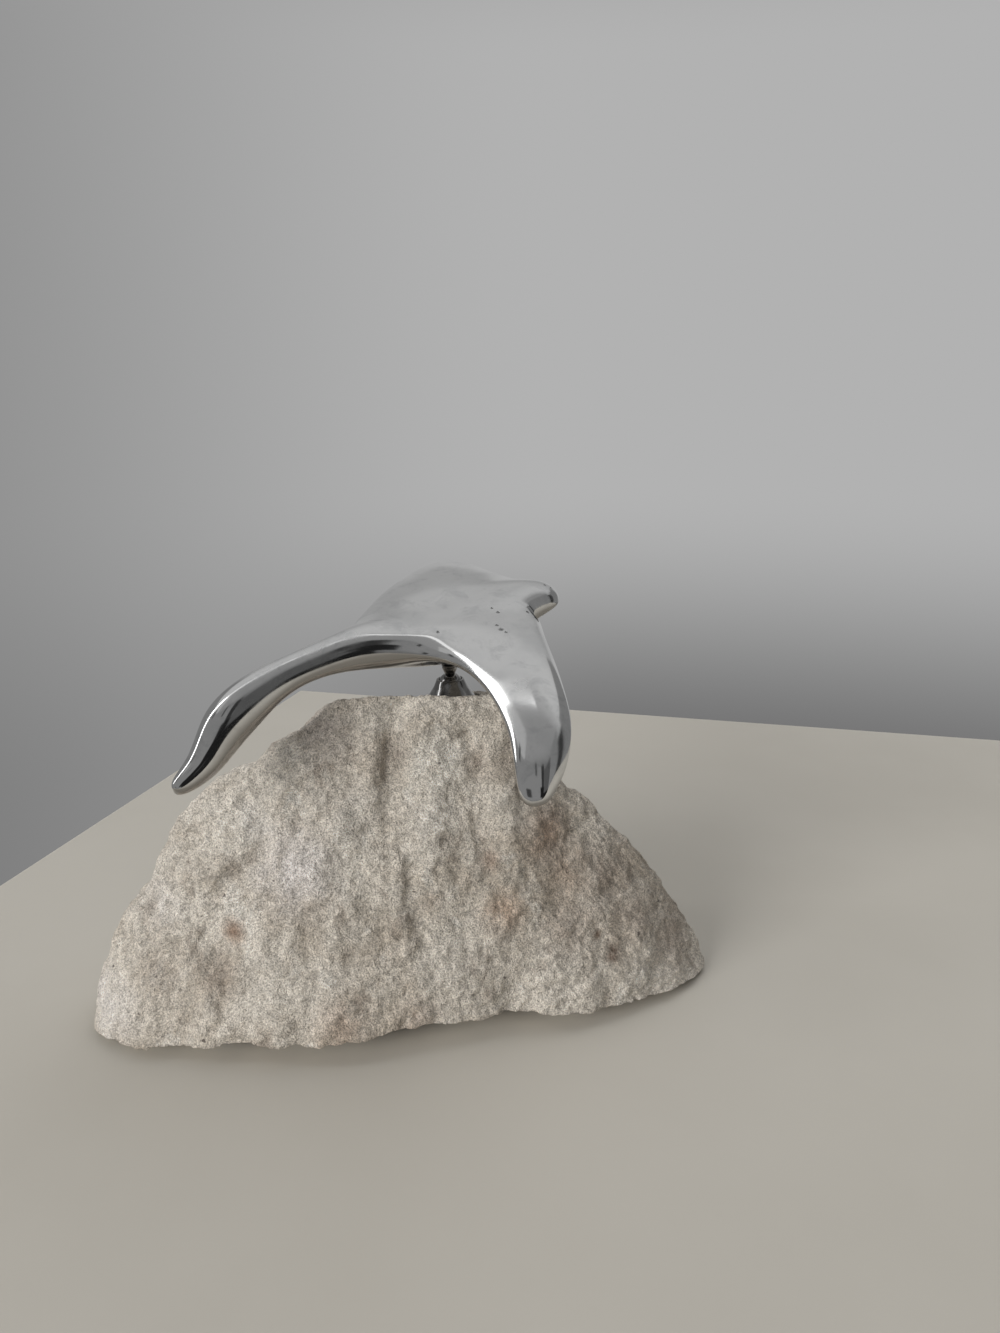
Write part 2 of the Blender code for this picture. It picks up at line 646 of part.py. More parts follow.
def goose_casting(stud):
    """The casting, faced and tapped from below for the stud."""
    goose = add_object("goose_casting", goose_mesh(), cast_finish(), stud)
    goose.location.z = BALL_TO_BELLY
    smooth = goose.modifiers.new("smooth", "SUBSURF")
    smooth.levels = CAST_SMOOTHING
    smooth.render_levels = CAST_SMOOTHING
    face_radius = WASHER_RADIUS + 2 * CLEARANCE
    face = WASHER_TOP + CLEARANCE
    hole = SHANK_RADIUS + CLEARANCE
    end = SHANK_TOP + THREAD_RUNOUT
    drilling = [(0.0, 0.0), (face_radius, 0.0), (face_radius, face), (hole, face), (hole, end), (0.0, end)]
    cut(goose, "goose_drilling", drilling, cast_finish(), stud)


def guide(name, place, turn):
    """An empty that carries the pieces of one axis."""
    empty = bpy.data.objects.new(name, None)
    bpy.context.collection.objects.link(empty)
    empty.matrix_world = Matrix.Translation(place) @ turn.to_4x4()
    return empty


def main():
    clear_scene()
    swivel = guide("swivel_axis", BALL_CENTRE, Matrix.Rotation(-SWIVEL_LEAN, 3, "Y"))
    stud = guide("stud_axis", BALL_CENTRE, goose_axes())
    felt_pads()
    stone_base(swivel)
    anchor(swivel)
    base_plate(swivel)
    spring_washer(swivel)
    ball_seat(swivel)
    socket_dome(swivel)
    ball_stud(stud)
    stud_washer(stud)
    goose_casting(stud)
    bpy.context.view_layer.update()


main()
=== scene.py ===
"""The look of a polished cast goose on a ball swivel and a rough block of stone."""

import json
import math

import bmesh
import bpy
from mathutils import Matrix, Vector, noise

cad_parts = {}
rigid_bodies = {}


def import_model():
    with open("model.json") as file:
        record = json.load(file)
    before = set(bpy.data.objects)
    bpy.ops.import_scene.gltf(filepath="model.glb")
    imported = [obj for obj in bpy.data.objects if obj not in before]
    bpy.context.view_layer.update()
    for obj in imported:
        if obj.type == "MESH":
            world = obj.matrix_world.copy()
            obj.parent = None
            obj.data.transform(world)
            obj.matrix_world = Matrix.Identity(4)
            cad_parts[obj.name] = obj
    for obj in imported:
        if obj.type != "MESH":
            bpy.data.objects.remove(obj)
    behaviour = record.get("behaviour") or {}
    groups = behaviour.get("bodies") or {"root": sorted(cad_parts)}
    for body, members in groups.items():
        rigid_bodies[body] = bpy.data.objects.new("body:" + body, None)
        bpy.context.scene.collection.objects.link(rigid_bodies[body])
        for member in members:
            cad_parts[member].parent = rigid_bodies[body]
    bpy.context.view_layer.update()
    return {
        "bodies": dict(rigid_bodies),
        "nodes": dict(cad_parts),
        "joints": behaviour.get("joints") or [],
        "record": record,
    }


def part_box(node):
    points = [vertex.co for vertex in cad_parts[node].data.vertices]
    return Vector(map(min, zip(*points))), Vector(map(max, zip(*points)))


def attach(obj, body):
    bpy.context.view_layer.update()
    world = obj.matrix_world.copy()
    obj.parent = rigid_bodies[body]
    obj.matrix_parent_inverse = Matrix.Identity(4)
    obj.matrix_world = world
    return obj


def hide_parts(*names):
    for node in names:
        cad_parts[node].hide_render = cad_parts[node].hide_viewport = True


MM = 0.001
CLEARANCE = 0.3 * MM

# The view that the photograph has: where its lens is, which way it looks and how wide it sees.
LENS_PLACE = Vector((-24.9, -330.1, 208.0)) * MM
LENS_TURN = math.radians(-9.92)
LENS_DOWN = math.radians(15.0)
LENS_LENGTH = 27.03
LENS_FRAME = 36.0
LENS_NEAREST = 0.01

# The table top that the stone stands on, by its far left corner and the direction of its far edge.
TABLE_CORNER = Vector((-48.0, 394.0)) * MM
TABLE_TURN = math.radians(-23.5)
TABLE_LENGTH = 1.5
TABLE_DEPTH = 0.56
TABLE_THICKNESS = 0.03
TABLE_EDGE = 0.0015
TABLE_EDGE_STEPS = 3

# The far wall as the metal mirrors it: its light from left to right, then the share of it that is left
# near the floor. Turns are in radians, rises are sines of the angle above the horizon.
WALL_TURN = (-0.55, 0.25)
WALL_LIGHT = (0.24, 0.445)
WALL_FOOT_TURN = (-0.2, 0.3)
WALL_FOOT_SHARE = (0.78, 0.34)
WALL_FOOT_RISE = (-0.36, -0.08)

# The ceiling takes over from the walls between these rises. Its brightness runs from the far wall, at
# nought, over the top to the near side, at one.
CEILING_RISE = (0.28, 0.42)
CEILING_BANDS = (
    (0.0, 0.33),
    (0.16, 0.34),
    (0.25, 0.42),
    (0.35, 0.48),
    (0.46, 0.48),
    (0.53, 0.38),
    (0.6, 0.26),
    (0.72, 0.25),
    (0.8, 0.17),
    (1.0, 0.15),
)

# Surfaces of the near side, each by its turn in radians from straight towards the lens, by the
# sines of the angles above the horizon that it lies between, and by its light.
ROOM_PATCHES = (
    ((-2.7, -1.65), (-0.3, 0.62), 0.19),
    ((-1.65, 0.0), (-1.0, 0.62), 0.21),
    ((-1.5, -0.9), (0.6, 0.85), 0.38),
    ((0.22, 0.85), (-0.45, 0.55), 0.085),
    ((0.1, 0.9), (-0.5, -0.08), 0.012),
    ((0.85, 1.4), (-0.3, 0.6), 0.2),
    ((1.62, 2.3), (-0.3, 0.55), 0.19),
    ((0.0, 0.22), (0.1, 0.62), 0.03),
    ((-0.12, 0.24), (-0.3, 0.16), 0.012),
    ((1.38, 1.62), (-0.15, 0.45), 0.03),
    ((-0.38, -0.3), (0.45, 0.65), 0.03),
    ((-1.24, -1.14), (0.48, 0.66), 0.04),
    ((-0.72, -0.6), (-0.3, 0.0), 0.04),
)
PATCH_SOFTNESS = 0.02

# The long skylight that runs from overhead down the left side.
SKYLIGHT_LIGHT = 3.2
SKYLIGHT_DIM_LIGHT = 0.85
SKYLIGHT_LEAN = 0.3
SKYLIGHT_SIDES = (-0.225, -0.115)
SKYLIGHT_SOFTNESS = 0.012
SKYLIGHT_FOOT = 0.22
SKYLIGHT_FOOT_SOFTNESS = 0.02
SKYLIGHT_DIM_FROM = 0.82
SKYLIGHT_DIM_SOFTNESS = 0.04
SKYLIGHT_END = 0.12
SKYLIGHT_END_SOFTNESS = 0.03

# The lamps in metres and watts, each with its place, its width and height, its power and its colour.
LAMPS = {
    "window": ((-5.0, -4.0, 2.1), (4.0, 2.0), 340.0, (1.0, 0.99, 0.975)),
    "ceiling": ((1.0, 0.9, 1.9), (1.6, 1.6), 8.5, (1.0, 1.0, 1.0)),
}
LAMP_AIM = Vector((0.0, 0.0, 0.08))

# The stone as sections along X, each with its height and the places of its ridge, of its foot at
# the front and of its foot at the back along Y. Tables of sections are in millimetres.
STONE_SECTIONS = (
    (-109.4, 10.0, -6.0, -16.0, 7.0),
    (-101.0, 30.0, -7.0, -25.5, 20.0),
    (-95.0, 41.0, -8.0, -29.0, 27.5),
    (-88.8, 47.5, -8.5, -31.5, 32.0),
    (-84.0, 60.0, -9.0, -33.0, 35.5),
    (-77.0, 72.0, -9.0, -35.0, 40.0),
    (-71.2, 78.0, -9.5, -38.0, 43.5),
    (-66.4, 82.5, -10.0, -40.0, 46.0),
    (-62.5, 86.0, -10.0, -41.0, 47.5),
    (-57.3, 89.0, -10.5, -42.0, 49.0),
    (-50.5, 91.0, -10.5, -44.0, 50.5),
    (-46.0, 96.0, -11.0, -45.0, 51.5),
    (-42.0, 98.8, -11.5, -45.0, 52.0),
    (-37.0, 101.6, -12.0, -45.0, 52.5),
    (-33.0, 105.0, -12.5, -45.5, 53.0),
    (-26.0, 111.2, -13.5, -46.0, 53.5),
    (-21.5, 112.8, -14.5, -46.0, 53.8),
    (-14.0, 113.8, -15.5, -46.0, 54.0),
    (-5.0, 114.4, -16.5, -45.0, 53.8),
    (15.0, 113.8, -18.5, -40.5, 53.0),
    (28.0, 113.3, -18.0, -39.5, 51.6),
    (33.0, 112.5, -17.5, -39.5, 51.0),
    (39.0, 104.0, -16.0, -40.0, 49.0),
    (47.0, 87.5, -15.0, -41.0, 46.0),
    (53.5, 77.8, -14.0, -40.5, 43.0),
    (60.0, 73.2, -13.0, -40.0, 40.0),
    (63.5, 69.5, -12.5, -39.0, 38.5),
    (68.5, 62.0, -12.0, -37.5, 36.0),
    (75.0, 55.0, -11.0, -35.5, 33.0),
    (90.0, 36.3, -9.0, -29.5, 24.0),
    (102.0, 19.0, -8.0, -21.5, 13.0),
    (109.6, 7.0, -7.0, -13.0, 2.0),
)
FRONT_FALL = ((0.0, 1.0), (0.1, 0.94), (0.34, 0.72), (0.62, 0.45), (0.88, 0.2), (1.0, 0.06))
BACK_FALL = ((0.0, 1.0), (0.1, 0.97), (0.4, 0.92), (0.52, 0.84), (0.72, 0.62), (0.88, 0.34), (1.0, 0.06))

# How far the underside is set back from the foot, and the number of parts of the stone's depth of which
# it takes one at most.
FOOT_UNDERCUT = 2.0 * MM
FOOT_UNDERCUT_PARTS = 6
FRONT_UNDERCUT = 12.0 * MM
FRONT_UNDERCUT_PARTS = 4
STONE_UNDERSIDE = 1.8 * MM
STONE_STEP = 0.85 * MM
FRONT_STEPS = 130
BACK_STEPS = 80
UNDER_STEPS = 14

# The lumps of the broken stone, each with how far apart they are and how high. The seed keeps them the
# same in every run.
STONE_LUMPS = ((38.0 * MM, 2.2 * MM), (17.0 * MM, 1.5 * MM), (8.0 * MM, 0.8 * MM))
LUMP_GRAIN = Vector((1.0, 1.0, 0.6))
LUMP_ORIGIN = Vector((0.0, -5.0, 0.0)) * MM
LUMP_SEED = 1795730409
FULL_LUMPS_FROM_HEIGHT = 40.0 * MM
FLAT_NEAR_UNDERSIDE = 9.0 * MM

# Grooves and ridges on the broad face, as lines from one (x, z) to another,
# each with its half width and how far it stands out of the face or, below zero, is sunk in it.
FACE_RELIEF = (
    (-4.5, 112.0, -6.0, 80.0, 4.6, -2.8),
    (7.0, 110.0, 6.0, 62.0, 6.0, 1.6),
    (19.0, 101.0, 22.0, 66.0, 4.8, -2.2),
    (0.0, 62.0, -0.5, 37.0, 4.6, -1.0),
    (-5.5, 63.0, -6.0, 36.0, 4.2, 0.8),
    (23.0, 66.0, 22.5, 53.0, 2.4, -1.3),
    (-50.0, 69.0, -65.0, 52.0, 3.0, -2.2),
    (-66.0, 34.0, -64.0, 18.0, 3.4, -2.0),
    (-28.0, 104.0, -22.0, 88.0, 8.0, -1.6),
    (-41.0, 66.0, -35.0, 58.0, 8.0, 1.4),
    (52.0, 60.0, 47.0, 43.0, 4.5, -1.3),
)
RELIEF_FADE = 0.06

# The broken surface of the stone: how far apart its chips, flakes and grains are and how deep they go.
STONE_SURFACE = {
    "Chip spacing": 13.0 * MM,
    "Chip depth": 3.2 * MM,
    "Flake spacing": 5.0 * MM,
    "Flake depth": 1.3 * MM,
    "Grain spacing": 2.1 * MM,
    "Grain depth": 0.6 * MM,
    "Flat height": 1.8 * MM,
    "Fade height": 3.0 * MM,
    "Seed": 4.0,
}

# The kinds of break in that surface, each with how detailed and how creased its pattern is.
STONE_BREAKS = (("Chip", 4.0, 0.5), ("Flake", 3.0, 0.5), ("Grain", 1.0, 0.0))
BREAK_ROUGHNESS = 0.6
NOISE_MIDDLE = 0.5
NOISE_TO_DEPTH = 2.0

# Past this distance from its middle the rough surface is drawn in, so that it stays within the
# block's length.
STONE_END_FROM = 107.5 * MM
STONE_END_SHARE = 0.68

# The stone's own colours: of its clouds, its patches, its cracks and its specks.
DARK_CLOUD = (0.64, 0.565, 0.475)
LIGHT_CLOUD = (0.84, 0.775, 0.685)
PALE_PATCH = (0.95, 0.90, 0.82)
BROWN_PATCH = (0.42, 0.355, 0.295)
CRACK_COLOUR = (0.20, 0.165, 0.135)
SPECK_COLOUR = (0.10, 0.08, 0.07)

# Tints of the stone, and the painted shadow that the goose casts on it: the middle of each on its broad face,
# its reach, its colour and its strength.
STONE_TINTS_AND_SHADOWS = (
    ((-40.0, -28.0, 61.0), 21.0, (0.93, 0.87, 0.83), 0.95),
    ((-52.0, -18.0, 75.0), 9.0, (0.90, 0.86, 0.81), 0.7),
    ((-103.0, -17.0, 13.0), 16.0, (0.90, 0.85, 0.81), 0.8),
    ((-84.0, -15.0, 46.0), 12.0, (0.84, 0.79, 0.75), 0.7),
    ((7.0, -24.0, 92.0), 17.0, (1.0, 0.95, 0.86), 1.0),
    ((5.0, -30.0, 74.0), 16.0, (1.0, 0.94, 0.85), 1.0),
    ((-21.0, -26.0, 80.0), 14.0, (0.90, 0.84, 0.76), 0.7),
    ((-12.0, -34.0, 55.0), 14.0, (0.88, 0.81, 0.71), 0.6),
    # The next two are painted shadow of the goose's neck and body along the top of the broad face.
    ((-27.0, -19.0, 102.0), 15.0, (0.42, 0.365, 0.33), 0.85),
    ((-6.0, -22.0, 96.0), 9.0, (0.44, 0.38, 0.325), 0.85),
    ((22.0, -22.0, 92.0), 10.0, (0.46, 0.385, 0.32), 0.85),
    ((36.0, -18.0, 92.0), 13.0, (0.50, 0.42, 0.35), 0.8),
    ((-60.0, -24.0, 59.0), 7.0, (0.42, 0.365, 0.31), 0.8),
    ((-65.0, -32.0, 27.0), 12.0, (0.40, 0.33, 0.27), 0.8),
    ((-60.0, -30.0, 41.0), 6.0, (0.42, 0.28, 0.20), 0.9),
    ((-86.0, -22.0, 27.0), 13.0, (0.54, 0.47, 0.40), 0.6),
    ((3.0, -36.0, 48.0), 7.0, (0.46, 0.37, 0.29), 0.7),
    ((24.0, -30.0, 60.0), 6.0, (0.40, 0.29, 0.22), 0.85),
    ((28.0, -33.0, 42.0), 12.0, (0.64, 0.47, 0.35), 0.8),
    ((44.0, -24.0, 66.0), 14.0, (0.66, 0.48, 0.37), 0.8),
    ((52.0, -25.0, 52.0), 14.0, (0.60, 0.47, 0.37), 0.75),
    ((66.0, -20.0, 48.0), 18.0, (0.43, 0.35, 0.285), 0.8),
    ((52.0, -31.0, 34.0), 16.0, (0.44, 0.355, 0.29), 0.75),
    ((76.0, -24.0, 32.0), 14.0, (0.42, 0.34, 0.28), 0.75),
    ((94.0, -14.0, 20.0), 16.0, (0.46, 0.375, 0.31), 0.7),
    ((-26.0, -43.0, 14.0), 14.0, (0.60, 0.46, 0.36), 0.7),
    ((-2.0, -43.0, 12.0), 12.0, (0.56, 0.44, 0.35), 0.6),
    ((61.5, -30.0, 29.0), 3.0, (0.20, 0.12, 0.075), 1.0),
    ((67.0, -31.0, 22.0), 6.0, (0.15, 0.09, 0.06), 1.0),
)

# The finishes that have one pattern. The rows of each are how metallic it is with the pattern's scale
# and detail, the values between which it goes from one colour to the other, those two colours, the
# values between which it goes from one roughness to the other with those two, and its relief's depth
# and strength.
PLAIN_FINISHES = {
    "dark_chrome": (
        (1.0, 380.0, 4.0),
        (0.45, 0.7),
        ((0.30, 0.295, 0.29), (0.42, 0.415, 0.41)),
        (0.35, 0.7, 0.08, 0.2),
        (0.00002, 0.4),
    ),
    "zinc_steel": (
        (1.0, 500.0, 3.0),
        (0.4, 0.6),
        ((0.42, 0.43, 0.44), (0.55, 0.55, 0.54)),
        (0.35, 0.65, 0.3, 0.45),
        (0.00003, 0.5),
    ),
    "moulded_nylon": (
        (0.0, 260.0, 3.0),
        (0.4, 0.6),
        ((0.66, 0.65, 0.60), (0.72, 0.71, 0.67)),
        (0.4, 0.6, 0.42, 0.55),
        (0.00003, 0.4),
    ),
    "set_resin": (
        (0.0, 300.0, 4.0),
        (0.4, 0.6),
        ((0.36, 0.30, 0.20), (0.48, 0.42, 0.30)),
        (0.4, 0.6, 0.3, 0.5),
        (0.0002, 0.6),
    ),
}

# The felt pads under the stone, with a rounded rim and loose fibres standing out of it.
FELT_PAD = {
    "Radius": 6.7 * MM,
    "Thickness": 1.4 * MM,
    "Rise": 0.05 * MM,
    "Unevenness": 0.12 * MM,
    "Fibre length": 0.45 * MM,
    "Fibre width": 0.03 * MM,
    "Fibres": 260.0,
    "Seed": 7,
}
PAD_COUNT = 4
PAD_SIDES = 64
PAD_WALL_STEPS = 8
PAD_FACE_STEPS = 6
RIM_SQUARENESS = 4.0
RIM_ROUNDING = 0.05
FLOCK_SCALE = 600.0
FIBRE_SIDES = 3
FIBRE_LEAN = Vector((0.9, 0.9, 3.0))
FAR_BELOW = -1.0

# The swivel, measured along its own axis from the centre of the ball. The axis leans to the left.
BALL_CENTRE = Vector((15.3, -1.5, 113.4)) * MM
SWIVEL_LEAN = math.radians(2.0)
BALL_RADIUS = 4.1 * MM
BALL_CAVITY = BALL_RADIUS + CLEARANCE
SEAT_DEPTH = 9.2 * MM
SPOTFACE_RADIUS = 10.3 * MM
DOME_FOOT = -SEAT_DEPTH + CLEARANCE
DOME_RADIUS = 9.5 * MM
DOME_LIP_RADIUS = 4.7 * MM
DOME_LIP_HEIGHT = 1.8 * MM
DOME_BORE = 7.9 * MM
DOME_OUTSIDE = ((1.0, 0.0), (1.0, 0.09), (0.95, 0.23), (0.86, 0.4), (0.74, 0.58), (0.61, 0.76), (0.54, 0.9))
PLATE_THICKNESS = 2.0 * MM
PLATE_TOP = DOME_FOOT + PLATE_THICKNESS
CUP_BORE = 4.8 * MM
CUP_BORE_TOP = -BALL_CAVITY / 4
ANCHOR_HOLE_RADIUS = 5.0 * MM
ANCHOR_HOLE_DEPTH = 32.3 * MM
ANCHOR_HOLE_FLOOR = PLATE_TOP - ANCHOR_HOLE_DEPTH
BALL_STEPS = 32
NECK_RADIUS = 1.85 * MM
NECK_LENGTH = 1.0 * MM
FLANGE_RADIUS = 2.6 * MM
FLARE_END = 6.6 * MM
FLANGE_TOP = 7.8 * MM
SHANK_RADIUS = 2.0 * MM
SHANK_TOP = 16.2 * MM
WASHER_RADIUS = 2.9 * MM
WASHER_BOTTOM = FLANGE_TOP + CLEARANCE
WASHER_THICKNESS = 0.6 * MM
WASHER_TOP = WASHER_BOTTOM + WASHER_THICKNESS
WASHER_SOFT_EDGE = 0.12 * MM
THREAD_RUNOUT = 0.8 * MM

# Turned pieces. The edge that is rounded off a corner takes at most one of these parts of each side.
TURNED_SIDES = 72
SOFT_EDGE = 0.22 * MM
SOFT_EDGE_STEPS = 3
SOFT_EDGE_PARTS = 3
FLAT_CORNER = math.radians(155.0)

# A surface is shaded as one with its neighbour up to this angle between them.
CREASE_ANGLE = math.radians(30.0)
FELT_CREASE_ANGLE = math.radians(40.0)
ALL_SMOOTH = math.pi

# How the goose is held at rest, from level flight straight along -X.
GOOSE_HEADING = math.radians(16.0)
GOOSE_DIVE = math.radians(9.0)
GOOSE_BANK = math.radians(16.0)
BALL_TO_BELLY = 7.0 * MM

# The body, neck and head as sections from the tail to the bill. Each is the distance ahead of the
# stud, how far its middle lies to the left and above the belly, its half width, its rise and drop.
SPINE_SECTIONS = (
    (-41.2, 0.0, 16.0, 2.8, 2.0, 1.4),
    (-39.0, 0.0, 16.6, 6.2, 5.3, 3.0),
    (-34.0, 0.0, 16.7, 8.5, 7.4, 4.2),
    (-26.0, 0.0, 15.8, 9.5, 7.6, 6.2),
    (-12.0, 0.0, 13.5, 8.6, 9.0, 9.6),
    (2.0, 0.0, 12.5, 8.2, 9.8, 12.4),
    (18.0, 0.0, 14.8, 7.6, 8.4, 9.2),
    (30.0, 0.0, 17.0, 7.6, 8.2, 8.4),
    (41.5, 0.2, 16.3, 6.2, 6.9, 5.4),
    (52.0, 0.7, 15.0, 5.8, 6.9, 4.6),
    (60.5, 1.6, 13.0, 6.3, 8.0, 5.6),
    (69.0, 3.2, 10.3, 7.6, 9.4, 8.2),
    (76.5, 5.2, 6.3, 7.8, 9.6, 8.7),
    (81.7, 7.6, 1.6, 6.6, 7.5, 7.4),
    (86.6, 10.3, -2.4, 5.3, 6.2, 5.9),
    (91.9, 12.4, -4.6, 4.0, 5.0, 4.2),
    (97.0, 14.0, -5.6, 2.5, 2.4, 2.8),
)
SPINE_SIDES = 8

# The wings join the body between these sections of it, counted from the tail. There its back is
# fuller: its upper sides reach these shares of the rise, one for each section.
LEFT_ROOT_SECTIONS = (3, 7)
RIGHT_ROOT_SECTIONS = (2, 7)
FULL_BACK_SHARES = (0.88, 0.95, 0.98, 0.98, 0.94, 0.82)

# Each wing as sections from its root to its tip: distance out from the middle, height of its middle
# surface, where its leading and trailing edges lie ahead of the stud, and its half thickness.
LEFT_WING = (
    (12.0, 16.7, 14.0, -25.6, 3.6),
    (20.0, 16.9, 6.8, -22.6, 3.2),
    (28.0, 16.6, 3.8, -20.2, 3.0),
    (37.0, 15.2, 2.4, -18.0, 2.9),
    (46.0, 12.6, 2.4, -15.6, 2.8),
    (54.0, 9.3, 3.4, -13.4, 2.8),
    (61.5, 4.9, 5.8, -9.4, 2.8),
    (67.0, -0.4, 7.8, -4.2, 2.6),
    (69.6, -5.2, 7.6, 1.0, 2.0),
)
RIGHT_WING = (
    (12.0, 16.7, 27.0, -31.5, 3.6),
    (20.0, 16.0, 19.0, -28.5, 3.3),
    (29.0, 14.8, 12.0, -27.0, 3.0),
    (38.0, 12.8, 0.5, -26.5, 2.9),
    (46.0, 9.4, -8.5, -26.0, 2.8),
    (54.0, 4.0, -12.0, -25.0, 2.8),
    (61.5, -4.0, -13.0, -22.5, 2.8),
    (67.0, -11.0, -13.0, -18.5, 2.6),
    (69.5, -16.5, -12.0, -14.5, 2.0),
)
WING_CROWN = 2.6
EDGE_ROUND = 1.1
TIP_ROUND = 1.0
CAST_SMOOTHING = 4

# The metal's colours where it is bright, hazy and mottled, the painted shade of its underside, and its colour
# in its pits.
# Between these values of how far it faces down it takes on the painted shade of the underside.
BRIGHT_METAL = (0.88, 0.88, 0.875)
HAZY_METAL = (0.76, 0.765, 0.765)
MOTTLED_METAL = (0.66, 0.665, 0.67)
UNDERSIDE_SHADE = (0.36, 0.35, 0.335)
METAL_PIT = (0.18, 0.18, 0.18)
UNDERSIDE_SHADE_LIMITS = (-0.05, 0.3)
DULLNESS = 0.3
PIT_DARKNESS = 0.75
PIT_ROUGHNESS = 0.3

# Where the polish is dull: the place in the goose's own directions, and how far the dullness reaches.
DULL_PLACES = (
    ((62.0, 0.0, 19.0), 17.0),
    ((46.0, 0.0, 22.0), 17.0),
    ((34.0, 2.0, 24.0), 11.0),
    ((-4.0, 44.0, 16.5), 13.0),
)

# Small pits that the casting keeps on the goose's back, in the goose's own directions: ahead of the
# stud, to the left and up, and the size of each.
CAST_PITS = (
    (-14.1, 9.3, 22.1, 0.9),
    (-13.4, 6.3, 22.3, 0.6),
    (-9.9, 19.6, 22.3, 1.3),
    (-9.8, 16.9, 22.4, 0.8),
    (-10.5, 21.8, 22.2, 0.7),
    (-24.1, 11.3, 20.3, 0.8),
    (8.2, 11.1, 22.0, 0.7),
    (-36.2, 1.3, 22.5, 0.8),
    (-37.9, 2.4, 21.4, 0.6),
)


def build_tree(material_name):
    """A new material, with its node tree and its surface shader."""
    finish = bpy.data.materials.new(material_name)
    finish.use_nodes = True
    tree = finish.node_tree
    return finish, tree, tree.nodes["Principled BSDF"]


def link(tree, source, target):
    """Links a node's output to another's input."""
    tree.links.new(source, target)


def feed(tree, made, inputs):
    """Gives a node's inputs, by name or place, other nodes' outputs or values of their own."""
    for name, value in inputs.items():
        if isinstance(value, bpy.types.NodeSocket):
            link(tree, value, made.inputs[name])
        else:
            made.inputs[name].default_value = value


def node(tree, kind, inputs=None, **settings):
    """Adds a node to a tree, in its settings and with its inputs fed."""
    made = tree.nodes.new(kind)
    for name, value in settings.items():
        setattr(made, name, value)
    feed(tree, made, inputs or {})
    return made


def pattern_place(tree, stretch=(1.0, 1.0, 1.0), turn=(0.0, 0.0, 0.0)):
    """The place on the piece that a pattern reads, stretched and turned."""
    place = node(tree, "ShaderNodeTexCoord").outputs["Object"]
    mapping = node(tree, "ShaderNodeMapping", {"Vector": place, "Scale": stretch, "Rotation": turn})
    return mapping.outputs["Vector"]


def noise_pattern(tree, place, scale, detail=4.0, roughness=0.55, distortion=0.0):
    """A cloudy pattern of values round one half."""
    inputs = {"Vector": place, "Scale": scale, "Detail": detail}
    inputs.update({"Roughness": roughness, "Distortion": distortion})
    return node(tree, "ShaderNodeTexNoise", inputs).outputs["Fac"]


def spread(tree, value, low, high, to_low=0.0, to_high=1.0):
    """Spreads a value between two limits smoothly onto two new ones."""
    inputs = {"Value": value, "From Min": low, "From Max": high, "To Min": to_low, "To Max": to_high}
    return node(tree, "ShaderNodeMapRange", inputs, interpolation_type="SMOOTHSTEP").outputs["Result"]


def mix_colour(tree, share, first, second, blend="MIX"):
    """Mixes two colours, each given as a colour or as another node's output."""
    first, second = [(*value, 1.0) if isinstance(value, tuple) else value for value in (first, second)]
    inputs = {0: share, 6: first, 7: second}
    return node(tree, "ShaderNodeMix", inputs, data_type="RGBA", blend_type=blend).outputs[2]


def arithmetic(tree, operation, first, second=0.0):
    """One step of arithmetic, on numbers or on other nodes' outputs."""
    return node(tree, "ShaderNodeMath", {0: first, 1: second}, operation=operation).outputs["Value"]


def product(tree, first, second):
    """Two values multiplied."""
    return arithmetic(tree, "MULTIPLY", first, second)


def vector_arithmetic(tree, operation, first, second=None):
    """One step of arithmetic on vectors or on other nodes' outputs."""
    inputs = {0: first} if second is None else {0: first, 1: second}
    return node(tree, "ShaderNodeVectorMath", inputs, operation=operation)


def nearness(tree, centre, reach, stretch=(1.0, 1.0, 1.0)):
    """One at a place on the piece, falling to nothing at the reach from it."""
    place = node(tree, "ShaderNodeTexCoord").outputs["Object"]
    offset = vector_arithmetic(tree, "SUBTRACT", place, centre).outputs["Vector"]
    shaped = vector_arithmetic(tree, "MULTIPLY", offset, stretch).outputs["Vector"]
    distance = vector_arithmetic(tree, "LENGTH", shaped).outputs["Value"]
    return spread(tree, distance, 0.0, reach, 1.0, 0.0)


def bump(tree, surface, height, distance, strength=1.0, before=None):
    """Raises a surface by a pattern, on top of the relief that it had before."""
    raised = node(tree, "ShaderNodeBump", {"Strength": strength, "Distance": distance, "Height": height})
    if before is not None:
        link(tree, before, raised.inputs["Normal"])
    link(tree, raised.outputs["Normal"], surface.inputs["Normal"])
    return raised.outputs["Normal"]


def on_goose(place):
    """The place in the room of a point given ahead of the stud, to its left and above the belly."""
    axes = goose_axes()
    return BALL_CENTRE + axes @ (Vector(place) * MM + Vector((0.0, 0.0, BALL_TO_BELLY)))


